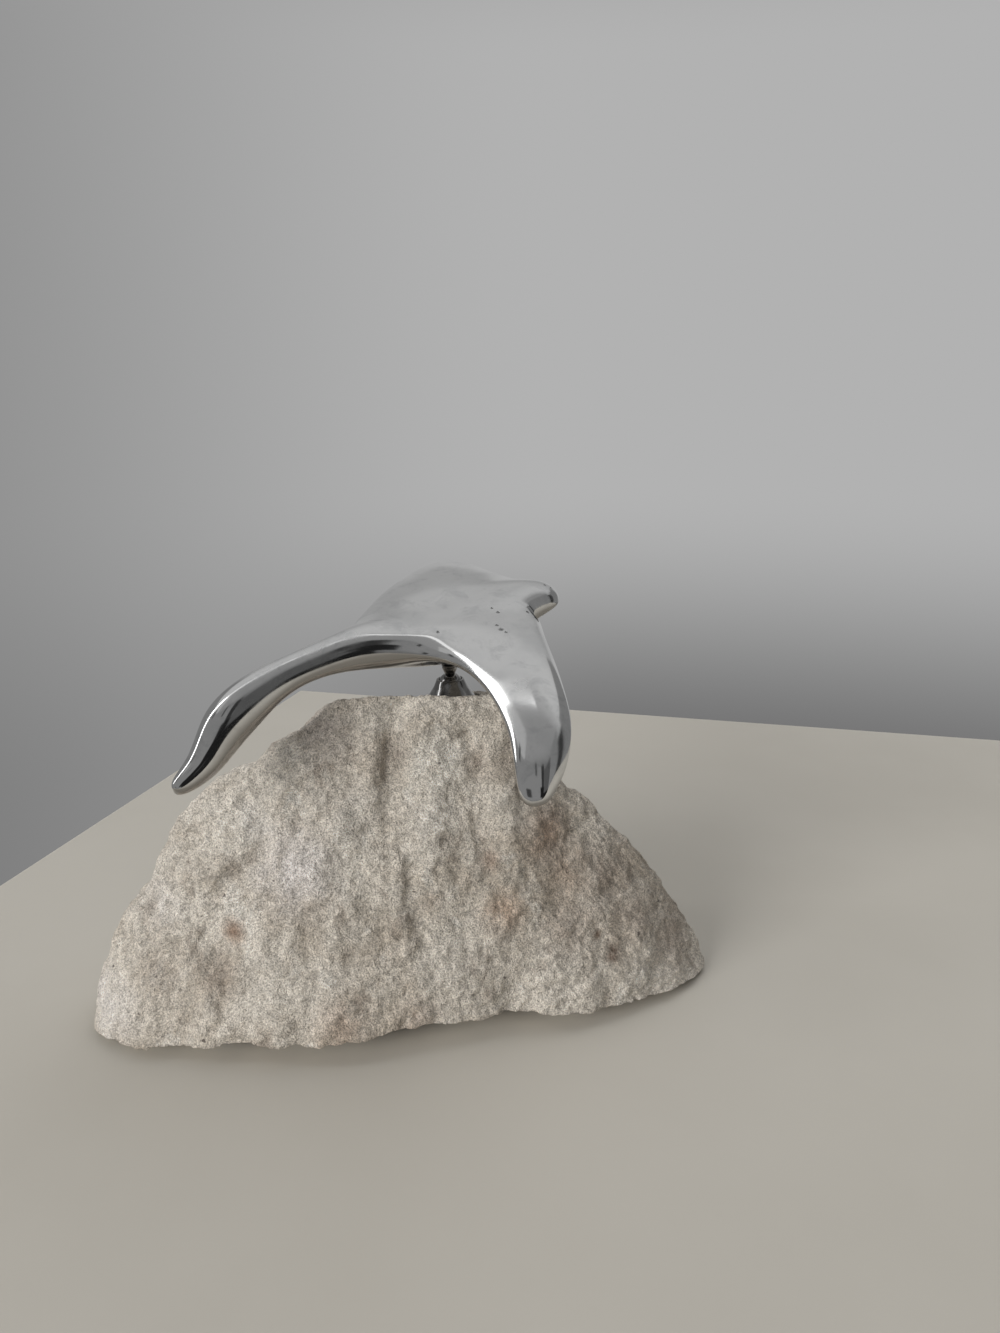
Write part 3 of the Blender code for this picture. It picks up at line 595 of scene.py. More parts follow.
def polished_aluminium():
    """Hand-polished cast aluminium: bright, a little hazy on its back, with a few small pits, and painted
    shade on its underside.
    """
    finish, tree, surface = build_tree("polished_aluminium")
    place = pattern_place(tree)
    haze = noise_pattern(tree, place, 45.0, detail=5.0)
    mottle = noise_pattern(tree, place, 110.0, detail=5.0, roughness=0.7, distortion=0.6)
    tint = mix_colour(tree, spread(tree, haze, 0.42, 0.68), BRIGHT_METAL, HAZY_METAL)
    tint = mix_colour(tree, spread(tree, mottle, 0.5, 0.68, 0.0, 0.6), tint, MOTTLED_METAL)
    rough = spread(tree, haze, 0.35, 0.75, 0.07, 0.2)
    # Painted shade: the colour darkens on faces that look down, standing in for the darker reflections under
    # the goose.
    facing_down = node(tree, "ShaderNodeAttribute", attribute_name="facing_down")
    below = spread(tree, facing_down.outputs["Fac"], *UNDERSIDE_SHADE_LIMITS)
    tint = mix_colour(tree, below, tint, UNDERSIDE_SHADE)
    pits = None
    for ahead, left, up, size in CAST_PITS:
        pit = nearness(tree, on_goose((ahead, left, up)), size * MM)
        pits = pit if pits is None else arithmetic(tree, "MAXIMUM", pits, pit)
    for place_on_goose, reach in DULL_PLACES:
        dullness = product(tree, nearness(tree, on_goose(place_on_goose), reach * MM), DULLNESS)
        rough = arithmetic(tree, "MAXIMUM", rough, dullness)
    colour = mix_colour(tree, product(tree, pits, PIT_DARKNESS), tint, METAL_PIT)
    rough = arithmetic(tree, "ADD", rough, product(tree, pits, PIT_ROUGHNESS))
    feed(tree, surface, {"Metallic": 1.0, "Base Color": colour, "Roughness": rough})
    wave = noise_pattern(tree, place, 60.0, detail=2.0)
    waved = bump(tree, surface, wave, 0.00012, 0.5)
    scratches = noise_pattern(tree, pattern_place(tree, (1.0, 4.0, 1.0), (0.2, 0.3, 0.4)), 900.0, detail=3.0)
    scratched = bump(tree, surface, scratches, 0.00001, 0.35, waved)
    bump(tree, surface, arithmetic(tree, "SUBTRACT", 1.0, pits), 0.0004, 1.0, scratched)
    return finish


def rough_stone():
    """Pale broken limestone: beige clouds, brown tints, painted shadow of the goose along its top, a crisp
    sugary grain, fine cracks and specks.
    """
    finish, tree, surface = build_tree("rough_stone")
    place = pattern_place(tree)
    clouds = noise_pattern(tree, place, 30.0, detail=7.0, roughness=0.65, distortion=0.5)
    colour = mix_colour(tree, spread(tree, clouds, 0.34, 0.60), DARK_CLOUD, LIGHT_CLOUD)
    patches = noise_pattern(tree, pattern_place(tree, (1.0, 1.0, 0.7)), 75.0, detail=6.0, roughness=0.7)
    colour = mix_colour(tree, spread(tree, patches, 0.54, 0.68, 0.0, 0.8), colour, PALE_PATCH)
    colour = mix_colour(tree, spread(tree, patches, 0.46, 0.32, 0.0, 0.7), colour, BROWN_PATCH)
    # The stone's tints, and the painted shadow of the goose along its top.
    for centre, reach, tint, share in STONE_TINTS_AND_SHADOWS:
        near = nearness(tree, Vector(centre) * MM, reach * MM, (1.0, 0.3, 1.0))
        broken = product(tree, near, spread(tree, patches, 0.36, 0.56, 0.35, 1.0))
        colour = mix_colour(tree, product(tree, broken, share), colour, tint)
    lines = arithmetic(tree, "ABSOLUTE", arithmetic(tree, "SUBTRACT", clouds, 0.47))
    thin_lines = spread(tree, lines, 0.0, 0.006, 1.0, 0.0)
    cracks = product(tree, thin_lines, spread(tree, patches, 0.48, 0.56))
    colour = mix_colour(tree, product(tree, cracks, 0.55), colour, CRACK_COLOUR)
    crystals = noise_pattern(tree, place, 1900.0, detail=2.0, roughness=0.7)
    clusters = noise_pattern(tree, place, 430.0, detail=4.0, roughness=0.7)
    fine_sparkle = spread(tree, crystals, 0.36, 0.64, 0.70, 1.30)
    coarse_sparkle = spread(tree, clusters, 0.34, 0.66, 0.84, 1.16)
    sparkle = product(tree, fine_sparkle, coarse_sparkle)
    colour = mix_colour(tree, 1.0, colour, sparkle, "MULTIPLY")
    specks = noise_pattern(tree, place, 420.0, detail=1.0)
    colour = mix_colour(tree, spread(tree, specks, 0.76, 0.80, 0.0, 0.8), colour, SPECK_COLOUR)
    rough = spread(tree, crystals, 0.3, 0.75, 0.9, 0.5)
    feed(tree, surface, {"Base Color": colour, "Roughness": rough, "Specular IOR Level": 0.5})
    coarse = noise_pattern(tree, place, 210.0, detail=5.0, roughness=0.7, distortion=0.3)
    first = bump(tree, surface, coarse, 0.0022, 1.0)
    second = bump(tree, surface, clusters, 0.0012, 1.0, first)
    bump(tree, surface, crystals, 0.0007, 1.0, second)
    return finish


def plain_finish(name):
    """A finish whose one pattern shows in its colour, its roughness and its relief."""
    (metallic, scale, detail), limits, colours, roughness, relief = PLAIN_FINISHES[name]
    finish, tree, surface = build_tree(name)
    pattern = noise_pattern(tree, pattern_place(tree), scale, detail)
    colour = mix_colour(tree, spread(tree, pattern, *limits), *colours)
    rough = spread(tree, pattern, *roughness)
    feed(tree, surface, {"Metallic": metallic, "Base Color": colour, "Roughness": rough})
    bump(tree, surface, pattern, *relief)
    return finish


def pressed_felt():
    """Dark felt of matted fibres, with a soft sheen."""
    finish, tree, surface = build_tree("pressed_felt")
    place = pattern_place(tree)
    fibres = noise_pattern(tree, place, 1500.0, detail=6.0, roughness=0.75, distortion=1.5)
    colour = mix_colour(tree, spread(tree, fibres, 0.35, 0.65), (0.045, 0.04, 0.036), (0.13, 0.12, 0.105))
    sheen = {"Sheen Weight": 0.3, "Sheen Roughness": 0.5}
    feed(tree, surface, {"Base Color": colour, "Roughness": 0.95, **sheen})
    bump(tree, surface, fibres, 0.0003, 0.9)
    return finish


def cream_table():
    """Painted table top, a warm pale cream with hardly any pattern."""
    finish, tree, surface = build_tree("cream_table")
    cloud = noise_pattern(tree, pattern_place(tree), 6.0, detail=4.0)
    colour = mix_colour(tree, spread(tree, cloud, 0.35, 0.65), (0.585, 0.555, 0.495), (0.61, 0.58, 0.52))
    feed(tree, surface, {"Base Color": colour, "Roughness": 0.6, "Specular IOR Level": 0.25})
    fine = noise_pattern(tree, pattern_place(tree), 700.0, detail=2.0)
    bump(tree, surface, fine, 0.0001, 0.15)
    return finish


def add_object(name, mesh, finish=None):
    """Puts a mesh into the scene, in its finish where it has one."""
    thing = bpy.data.objects.new(name, mesh)
    bpy.context.collection.objects.link(thing)
    if finish:
        mesh.materials.append(finish)
    return thing


def mesh_from(form, name, sharp_angle):
    """Turns a working mesh into a finished one, smooth but for edges sharper than the angle."""
    bmesh.ops.recalc_face_normals(form, faces=form.faces)
    mesh = bpy.data.meshes.new(name)
    form.to_mesh(mesh)
    form.free()
    mesh.shade_smooth()
    mesh.set_sharp_from_angle(angle=sharp_angle)
    return mesh


def finished(thing):
    """Turns a piece's live modifiers into a plain mesh."""
    bpy.context.view_layer.update()
    evaluated = thing.evaluated_get(bpy.context.evaluated_depsgraph_get())
    mesh = bpy.data.meshes.new_from_object(evaluated)
    mesh.name = thing.name
    thing.modifiers.clear()
    thing.data = mesh


def turned_mesh(name, profile, frame, ring=False):
    """Turns a profile of (radius, height) about Z; a ring's profile is closed on itself."""
    form = bmesh.new()
    rows = []
    for radius, height in profile:
        if radius == 0.0:
            rows.append([form.verts.new((0.0, 0.0, height))] * TURNED_SIDES)
            continue
        row = []
        for k in range(TURNED_SIDES):
            turn = 2 * math.pi * k / TURNED_SIDES
            row.append(form.verts.new((radius * math.cos(turn), radius * math.sin(turn), height)))
        rows.append(row)
    pairs = list(zip(rows, rows[1:]))
    if ring:
        pairs.append((rows[-1], rows[0]))
    for lower, upper in pairs:
        for k in range(TURNED_SIDES):
            n = (k + 1) % TURNED_SIDES
            corners = dict.fromkeys((lower[k], lower[n], upper[n], upper[k]))
            form.faces.new(list(corners))
    form.transform(frame)
    return mesh_from(form, name, CREASE_ANGLE)


def soften(profile, closed, edge=SOFT_EDGE):
    """Rounds the sharp corners of a turned profile, but not the ends that lie on the axis."""
    count = len(profile)
    rounded = []
    for i, corner in enumerate(profile):
        if not closed and i in (0, count - 1):
            rounded.append(corner)
            continue
        here = Vector(corner)
        back = Vector(profile[i - 1]) - here
        on = Vector(profile[(i + 1) % count]) - here
        if back.angle(on) > FLAT_CORNER:
            rounded.append(corner)
            continue
        reach = min(edge, back.length / SOFT_EDGE_PARTS, on.length / SOFT_EDGE_PARTS)
        start, end = here + back.normalized() * reach, here + on.normalized() * reach
        for k in range(SOFT_EDGE_STEPS + 1):
            t = k / SOFT_EDGE_STEPS
            point = start * (1 - t) ** 2 + here * 2 * t * (1 - t) + end * t**2
            rounded.append((point.x, point.y))
    return rounded


def cut(target, name, profile, frame):
    """Takes a turned shape out of a piece."""
    cutter = add_object(name, turned_mesh(name, profile, frame))
    opening = target.modifiers.new(name, "BOOLEAN")
    opening.operation = "DIFFERENCE"
    opening.object = cutter
    return cutter


def between(rows, place):
    """Reads a table of rows, each starting with its place, at any place between them."""
    for low, high in zip(rows, rows[1:]):
        if place <= high[0]:
            share = max(0.0, (place - low[0]) / (high[0] - low[0]))
            return [a + (b - a) * share for a, b in zip(low, high)]
    return list(rows[-1])


def along_fall(fall, steps):
    """Points evenly spread along a fall from the ridge to the foot, without the ridge itself."""
    lengths = [0.0]
    for (a, b), (c, d) in zip(fall, fall[1:]):
        lengths.append(lengths[-1] + math.hypot(c - a, d - b))
    rows = [(length, out, height) for length, (out, height) in zip(lengths, fall)]
    return [between(rows, lengths[-1] * i / steps)[1:] for i in range(1, steps + 1)]


def face_relief(point):
    """How far the grooves and ridges move a point of the broad face."""
    moved = 0.0
    for x0, z0, x1, z1, half_width, height in FACE_RELIEF:
        start, end = Vector((x0, z0)) * MM, Vector((x1, z1)) * MM
        run = end - start
        here = Vector((point.x, point.z))
        share = max(0.0, min(1.0, (here - start).dot(run) / run.length_squared))
        away = (here - start - run * share).length / (half_width * MM)
        moved += height * MM * math.exp(-away * away)
    return moved


def stone_ring(x, falls):
    """The stone's outline across X at one place, from the ridge down the front and round."""
    _, height, ridge, front, back = [value * MM for value in between(STONE_SECTIONS, x / MM)]
    rise = height - STONE_UNDERSIDE
    front_fall, back_fall = falls
    points = [Vector((x, ridge, height))]
    for out, up in front_fall:
        point = Vector((x, ridge + (front - ridge) * out, STONE_UNDERSIDE + rise * up))
        point.y -= face_relief(point) * min(1.0, out / RELIEF_FADE)
        points.append(point)
    near_side = front + min(FRONT_UNDERCUT, (back - front) / FRONT_UNDERCUT_PARTS)
    far_side = back - min(FOOT_UNDERCUT, (back - front) / FOOT_UNDERCUT_PARTS)
    for i in range(UNDER_STEPS + 1):
        y = near_side + (far_side - near_side) * i / UNDER_STEPS
        points.append(Vector((x, y, STONE_UNDERSIDE)))
    for out, up in reversed(back_fall):
        points.append(Vector((x, ridge + (back - ridge) * out, STONE_UNDERSIDE + rise * up)))
    calm = min(1.0, rise / FULL_LUMPS_FROM_HEIGHT)
    return [roughened(point, calm) for point in points]


def roughened(point, strength):
    """Moves a point of the stone by the lumps of its broken surface, but keeps its underside flat."""
    shift = Vector((0.0, 0.0, 0.0))
    place = (point - LUMP_ORIGIN) * LUMP_GRAIN
    for spacing, height in STONE_LUMPS:
        shift += noise.noise_vector(place / spacing) * height * strength
    shift.z *= min(1.0, (point.z - STONE_UNDERSIDE) / FLAT_NEAR_UNDERSIDE)
    return point + shift


def stone_mesh():
    """The block as rings of points across its length, joined up and closed at both ends."""
    noise.seed_set(LUMP_SEED)
    form = bmesh.new()
    first, last = STONE_SECTIONS[0][0] * MM, STONE_SECTIONS[-1][0] * MM
    count = round((last - first) / STONE_STEP)
    falls = along_fall(FRONT_FALL, FRONT_STEPS), along_fall(BACK_FALL, BACK_STEPS)
    rings = []
    for i in range(count + 1):
        ring = stone_ring(first + (last - first) * i / count, falls)
        rings.append([form.verts.new(point) for point in ring])
    for before, after in zip(rings, rings[1:]):
        for k in range(len(before)):
            n = (k + 1) % len(before)
            form.faces.new((before[k], after[k], after[n], before[n]))
    ends = [form.faces.new(ring) for ring in (rings[0], rings[-1])]
    bmesh.ops.poke(form, faces=ends)
    return mesh_from(form, "stone", ALL_SMOOTH)


def tree_input(tree, name, kind, value):
    """Adds a named input to a geometry tree, with the value that the tree starts from."""
    socket = tree.interface.new_socket(name=name, in_out="INPUT", socket_type=kind)
    socket.default_value = value


def geometry_tree(name):
    """A new geometry tree, with its way in and its way out."""
    tree = bpy.data.node_groups.new(name, "GeometryNodeTree")
    tree.interface.new_socket(name="Geometry", in_out="INPUT", socket_type="NodeSocketGeometry")
    tree.interface.new_socket(name="Geometry", in_out="OUTPUT", socket_type="NodeSocketGeometry")
    return tree, node(tree, "NodeGroupInput"), node(tree, "NodeGroupOutput")


def end_tree(tree, geometry, finish, outward):
    """Ends a geometry tree with plain geometry in its finish."""
    realise = node(tree, "GeometryNodeRealizeInstances", {"Geometry": geometry})
    inputs = {"Geometry": realise.outputs["Geometry"], "Material": finish}
    dress = node(tree, "GeometryNodeSetMaterial", inputs)
    link(tree, dress.outputs["Geometry"], outward.inputs["Geometry"])


def set_inputs(modifier, values):
    """Sets a geometry modifier's inputs by the names that its tree gives them."""
    for item in modifier.node_group.interface.items_tree:
        if item.item_type == "SOCKET" and item.in_out == "INPUT" and item.name in values:
            modifier[item.identifier] = values[item.name]


def chipped_surface_tree(finish):
    """Roughens a stone's surface with chips, flakes and grains that fade out to its flat underside."""
    tree, inward, outward = geometry_tree("chipped_surface")
    for name, value in STONE_SURFACE.items():
        tree_input(tree, name, "NodeSocketFloat", value)
    place = node(tree, "GeometryNodeInputPosition").outputs["Position"]
    normal = node(tree, "GeometryNodeInputNormal").outputs["Normal"]
    height = node(tree, "ShaderNodeSeparateXYZ", {"Vector": place}).outputs["Z"]
    above = arithmetic(tree, "SUBTRACT", height, inward.outputs["Flat height"])
    limits = {0: above, 1: inward.outputs["Fade height"]}
    fade = node(tree, "ShaderNodeMath", limits, operation="DIVIDE", use_clamp=True)
    total = None
    for kind, detail, crease in STONE_BREAKS:
        inputs = {
            "Vector": place,
            "W": inward.outputs["Seed"],
            "Scale": arithmetic(tree, "DIVIDE", 1.0, inward.outputs[f"{kind} spacing"]),
            "Detail": detail,
            "Roughness": BREAK_ROUGHNESS,
            "Distortion": crease,
        }
        pattern = node(tree, "ShaderNodeTexNoise", inputs, noise_dimensions="4D")
        centred = arithmetic(tree, "SUBTRACT", pattern.outputs["Fac"], NOISE_MIDDLE)
        sized = product(tree, centred, inward.outputs[f"{kind} depth"])
        total = sized if total is None else arithmetic(tree, "ADD", total, sized)
    faded = product(tree, total, fade.outputs["Value"])
    reach = {"Vector": normal, "Scale": product(tree, faded, NOISE_TO_DEPTH)}
    push = node(tree, "ShaderNodeVectorMath", reach, operation="SCALE")
    shift = {"Geometry": inward.outputs["Geometry"], "Offset": push.outputs["Vector"]}
    move = node(tree, "GeometryNodeSetPosition", shift)
    end_tree(tree, move.outputs["Geometry"], finish, outward)
    return tree


def felt_pad_tree(finish):
    """Sets a pad of pressed felt at every point, with fibres standing out round its rim."""
    tree, inward, outward = geometry_tree("felt_pads")
    for name, value in FELT_PAD.items():
        kind = "NodeSocketInt" if name == "Seed" else "NodeSocketFloat"
        tree_input(tree, name, kind, value)
    radius, thickness, seed = [inward.outputs[name] for name in ("Radius", "Thickness", "Seed")]
    place = node(tree, "GeometryNodeInputPosition").outputs["Position"]
    disc_inputs = {
        "Vertices": PAD_SIDES,
        "Side Segments": PAD_WALL_STEPS,
        "Fill Segments": PAD_FACE_STEPS,
        "Radius": radius,
        "Depth": thickness,
    }
    disc = node(tree, "GeometryNodeMeshCylinder", disc_inputs, fill_type="TRIANGLE_FAN")
    sideways, lengthways, upward = node(tree, "ShaderNodeSeparateXYZ", {"Vector": place}).outputs
    level = arithmetic(tree, "DIVIDE", upward, product(tree, thickness, 0.5))
    rounding = arithmetic(tree, "POWER", arithmetic(tree, "ABSOLUTE", level), RIM_SQUARENESS)
    flock = noise_pattern(tree, place, FLOCK_SCALE, detail=3.0)
    centred = arithmetic(tree, "SUBTRACT", flock, NOISE_MIDDLE)
    share = arithmetic(tree, "DIVIDE", product(tree, centred, inward.outputs["Unevenness"]), radius)
    narrowing = arithmetic(tree, "SUBTRACT", share, product(tree, rounding, RIM_ROUNDING))
    pulls = {"X": product(tree, sideways, narrowing), "Y": product(tree, lengthways, narrowing)}
    pull = node(tree, "ShaderNodeCombineXYZ", pulls).outputs["Vector"]
    soft = node(tree, "GeometryNodeSetPosition", {"Geometry": disc.outputs["Mesh"], "Offset": pull})

    # The fibres, scattered over the rim and leaning at random.
    rim_area = product(tree, product(tree, radius, 2 * math.pi), thickness)
    scatter_inputs = {
        "Mesh": soft.outputs["Geometry"],
        "Selection": disc.outputs["Side"],
        "Density": arithmetic(tree, "DIVIDE", inward.outputs["Fibres"], rim_area),
        "Seed": seed,
    }
    scatter = node(tree, "GeometryNodeDistributePointsOnFaces", scatter_inputs)
    fibre_inputs = {
        "Vertices": FIBRE_SIDES,
        "Side Segments": 1,
        "Radius Bottom": inward.outputs["Fibre width"],
        "Depth": inward.outputs["Fibre length"],
    }
    fibre = node(tree, "GeometryNodeMeshCone", fibre_inputs, fill_type="NGON")
    leans = {"Min": -FIBRE_LEAN, "Max": FIBRE_LEAN, "Seed": seed}
    lean = node(tree, "FunctionNodeRandomValue", leans, data_type="FLOAT_VECTOR")
    turns = {"Rotation": scatter.outputs["Rotation"], "Rotate By": lean.outputs["Value"]}
    tilt = node(tree, "FunctionNodeRotateRotation", turns, rotation_space="LOCAL")
    fringe_inputs = {
        "Points": scatter.outputs["Points"],
        "Instance": fibre.outputs["Mesh"],
        "Rotation": tilt.outputs["Rotation"],
    }
    fringe = node(tree, "GeometryNodeInstanceOnPoints", fringe_inputs)
    pad = node(tree, "GeometryNodeJoinGeometry")
    link(tree, soft.outputs["Geometry"], pad.inputs["Geometry"])
    link(tree, fringe.outputs["Instances"], pad.inputs["Geometry"])

    # One pad at every point, with nothing of it below its underside.
    copies = {"Points": inward.outputs["Geometry"], "Instance": pad.outputs["Geometry"]}
    pads = node(tree, "GeometryNodeInstanceOnPoints", copies)
    plain = node(tree, "GeometryNodeRealizeInstances", {"Geometry": pads.outputs["Instances"]})
    lowest = node(tree, "ShaderNodeCombineXYZ", {"X": FAR_BELOW, "Y": FAR_BELOW, "Z": inward.outputs["Rise"]})
    kept_up = vector_arithmetic(tree, "MAXIMUM", place, lowest.outputs["Vector"])
    settled = {"Geometry": plain.outputs["Geometry"], "Position": kept_up.outputs["Vector"]}
    settle = node(tree, "GeometryNodeSetPosition", settled)
    end_tree(tree, settle.outputs["Geometry"], finish, outward)
    return tree


def felt_pads():
    """Four felt pads under the stone, each where its plain solid is."""
    finish = pressed_felt()
    names = [f"felt_pad_{i}" for i in range(1, PAD_COUNT + 1)]
    middle_height = FELT_PAD["Rise"] + FELT_PAD["Thickness"] / 2
    mesh = bpy.data.meshes.new("felt_pads")
    centres = []
    for name in names:
        low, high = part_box(name)
        centres.append(((low[0] + high[0]) / 2, (low[1] + high[1]) / 2, middle_height))
    mesh.from_pydata(centres, [], [])
    pads = add_object("felt_pads", mesh, finish)
    felting = pads.modifiers.new("felting", "NODES")
    felting.node_group = felt_pad_tree(finish)
    set_inputs(felting, FELT_PAD)
    finished(pads)
    pads.data.shade_smooth()
    pads.data.set_sharp_from_angle(angle=FELT_CREASE_ANGLE)
    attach(pads, "base")
    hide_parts(*names)


def swivel_frame():
    """The place and lean of the swivel's own axis."""
    return Matrix.Translation(BALL_CENTRE) @ Matrix.Rotation(-SWIVEL_LEAN, 4, "Y")


def stone():
    """The broken block, drilled from above for the swivel and its anchor."""
    finish = rough_stone()
    block = add_object("stone", stone_mesh(), finish)
    chips = block.modifiers.new("chips", "NODES")
    chips.node_group = chipped_surface_tree(finish)
    set_inputs(chips, STONE_SURFACE)
    above_all = 2 * DOME_RADIUS
    drilling = [
        (0.0, ANCHOR_HOLE_FLOOR),
        (ANCHOR_HOLE_RADIUS, ANCHOR_HOLE_FLOOR),
        (ANCHOR_HOLE_RADIUS, -SEAT_DEPTH),
        (SPOTFACE_RADIUS, -SEAT_DEPTH),
        (SPOTFACE_RADIUS, above_all),
        (0.0, above_all),
    ]
    cutter = cut(block, "stone_drilling", drilling, swivel_frame())
    finished(block)
    bpy.data.objects.remove(cutter)
    for point in block.data.vertices:
        beyond = abs(point.co.x) - STONE_END_FROM
        if beyond > 0.0:
            point.co.x = math.copysign(STONE_END_FROM + beyond * STONE_END_SHARE, point.co.x)
    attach(block, "base")
    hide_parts("stone_base")


def dome(finish):
    """The dome of the swivel, hollow under its lip."""
    tall = DOME_LIP_HEIGHT - DOME_FOOT
    profile = [(DOME_RADIUS * wide, DOME_FOOT + tall * high) for wide, high in DOME_OUTSIDE]
    profile.append((DOME_LIP_RADIUS, DOME_LIP_HEIGHT))
    for height in (DOME_LIP_HEIGHT, DOME_LIP_HEIGHT / 2, 0.0):
        profile.append((math.sqrt(BALL_CAVITY**2 - height**2), height))
    profile.append((CUP_BORE, CUP_BORE_TOP))
    profile.append((CUP_BORE, PLATE_TOP + CLEARANCE))
    profile.append((DOME_BORE, PLATE_TOP + CLEARANCE))
    profile.append((DOME_BORE, DOME_FOOT))
    mesh = turned_mesh("dome", soften(profile, True), swivel_frame(), True)
    piece = add_object("dome", mesh, finish)
    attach(piece, "base")
    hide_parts("socket_dome")


def stud_frame():
    """The place and lean of the stud, which the goose shares."""
    return Matrix.Translation(BALL_CENTRE) @ goose_axes().to_4x4()


def stud(finish):
    """The ball with its neck, its flare and the shank that goes into the goose."""
    profile = [(0.0, -BALL_RADIUS)]
    shoulder = math.pi - math.asin(NECK_RADIUS / BALL_RADIUS)
    for i in range(1, BALL_STEPS + 1):
        angle = shoulder * i / BALL_STEPS
        profile.append((BALL_RADIUS * math.sin(angle), -BALL_RADIUS * math.cos(angle)))
    profile.append((NECK_RADIUS, profile[-1][1] + NECK_LENGTH))
    profile += [(FLANGE_RADIUS, FLARE_END), (FLANGE_RADIUS, FLANGE_TOP)]
    profile += [(SHANK_RADIUS, FLANGE_TOP), (SHANK_RADIUS, SHANK_TOP), (0.0, SHANK_TOP)]
    piece = add_object("stud", turned_mesh("stud", soften(profile, False), stud_frame()), finish)
    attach(piece, "stud")
    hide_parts("ball_stud")


def washer(finish):
    """The washer between the flare and the goose's belly."""
    inner = SHANK_RADIUS + CLEARANCE
    disc = [
        (inner, WASHER_BOTTOM),
        (WASHER_RADIUS, WASHER_BOTTOM),
        (WASHER_RADIUS, WASHER_TOP),
        (inner, WASHER_TOP),
    ]
    mesh = turned_mesh("washer", soften(disc, True, WASHER_SOFT_EDGE), stud_frame(), True)
    piece = add_object("washer", mesh, finish)
    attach(piece, "stud")
    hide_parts("stud_washer")


def goose_axes():
    """The goose's forward, left and up directions at rest, as the columns of a rotation."""
    ahead = Vector((-math.cos(GOOSE_HEADING), -math.sin(GOOSE_HEADING), 0.0))
    left = Vector((math.sin(GOOSE_HEADING), -math.cos(GOOSE_HEADING), 0.0))
    upright = Vector((0.0, 0.0, 1.0))
    diving = ahead * math.cos(GOOSE_DIVE) - upright * math.sin(GOOSE_DIVE)
    upright = upright * math.cos(GOOSE_DIVE) + ahead * math.sin(GOOSE_DIVE)
    banked = left * math.cos(GOOSE_BANK) - upright * math.sin(GOOSE_BANK)
    up = upright * math.cos(GOOSE_BANK) + left * math.sin(GOOSE_BANK)
    return Matrix((diving, banked, up)).transposed()


def spine_rings():
    """One ring of points round each body section, square to the line through the sections."""
    middles = [Vector(row[:3]) for row in SPINE_SECTIONS]
    first, last = RIGHT_ROOT_SECTIONS
    rings = []
    for i, (_, _, _, half_width, rise, drop) in enumerate(SPINE_SECTIONS):
        before, after = middles[max(i - 1, 0)], middles[min(i + 1, len(middles) - 1)]
        run = (after - before).normalized()
        sideways = Vector((0.0, 0.0, 1.0)).cross(run).normalized()
        upward = run.cross(sideways)
        ring = []
        for k in range(SPINE_SIDES):
            turn = 2 * math.pi * k / SPINE_SIDES
            lift = math.sin(turn)
            if k in (1, 3) and first <= i <= last:
                lift = FULL_BACK_SHARES[i - first]
            height = lift * (rise if lift > 0 else drop)
            ring.append(middles[i] + sideways * math.cos(turn) * half_width + upward * height)
        rings.append(ring)
    return rings


def wing_normals(sections):
    """The direction square to the wing's surface at each of its sections, seen from ahead."""
    places = [Vector(row[:2]) for row in sections]
    normals = []
    for i in range(len(places)):
        run = places[min(i + 1, len(places) - 1)] - places[max(i - 1, 0)]
        run.normalize()
        normals.append((-run.y, run.x))
    return normals


def wing_loop(section, normal, side, stations):
    """The points round one section of a wing: over its top to the trailing edge, and back below."""
    out, height, lead, trail, half = section
    lift = Vector((0.0, side * normal[0], normal[1])) * half
    edge = Vector((half * EDGE_ROUND, 0.0, 0.0))
    middle_line = []
    top = []
    for c in range(stations):
        share = c / (stations - 1)
        point = Vector((lead + (trail - lead) * share, side * out, height))
        middle_line.append(point)
        top.append(point + lift * (1 + WING_CROWN / half * math.sin(math.pi * share)))
    bottom = [point - lift for point in reversed(middle_line)]
    return top + [middle_line[-1] - edge] + bottom + [middle_line[0] + edge]


def bridge(form, inner, outer):
    """Joins two rings of as many points with faces."""
    for a in range(len(inner)):
        b = (a + 1) % len(inner)
        form.faces.new((inner[a], inner[b], outer[b], outer[a]))


def close_wing_tip(form, loop, side, stations):
    """Closes the tip with two rows of faces about its middle line."""
    tops, trailing = loop[:stations], loop[stations]
    bottoms, leading = list(reversed(loop[stations + 1 : -1])), loop[-1]
    beyond = Vector((0.0, side * TIP_ROUND, -TIP_ROUND))
    middle = [leading]
    for top, bottom in zip(tops[1:-1], bottoms[1:-1]):
        middle.append(form.verts.new((top.co + bottom.co) / 2 + beyond))
    middle.append(trailing)
    form.faces.new((tops[0], tops[1], middle[1], leading))
    form.faces.new((leading, middle[1], bottoms[1], bottoms[0]))
    for c in range(1, stations - 2):
        form.faces.new((tops[c], tops[c + 1], middle[c + 1], middle[c]))
        form.faces.new((middle[c], middle[c + 1], bottoms[c + 1], bottoms[c]))
    form.faces.new((tops[-2], tops[-1], trailing, middle[-2]))
    form.faces.new((middle[-2], trailing, bottoms[-1], bottoms[-2]))


def add_wing(form, rings, side, root, sections):
    """Grows a wing out of the opening that the body leaves between two of its sections."""
    top, middle, bottom = (1, 0, SPINE_SIDES - 1) if side > 0 else (3, 4, 5)
    first, last = root
    stations = list(range(last, first - 1, -1))
    loop = [rings[i][top] for i in stations] + [rings[first][middle]]
    loop += [rings[i][bottom] for i in reversed(stations)] + [rings[last][middle]]
    for section, normal in zip(sections, wing_normals(sections)):
        points = wing_loop(section, normal, side, len(stations))
        fresh = [form.verts.new(point) for point in points]
        bridge(form, loop, fresh)
        loop = fresh
    close_wing_tip(form, loop, side, len(stations))


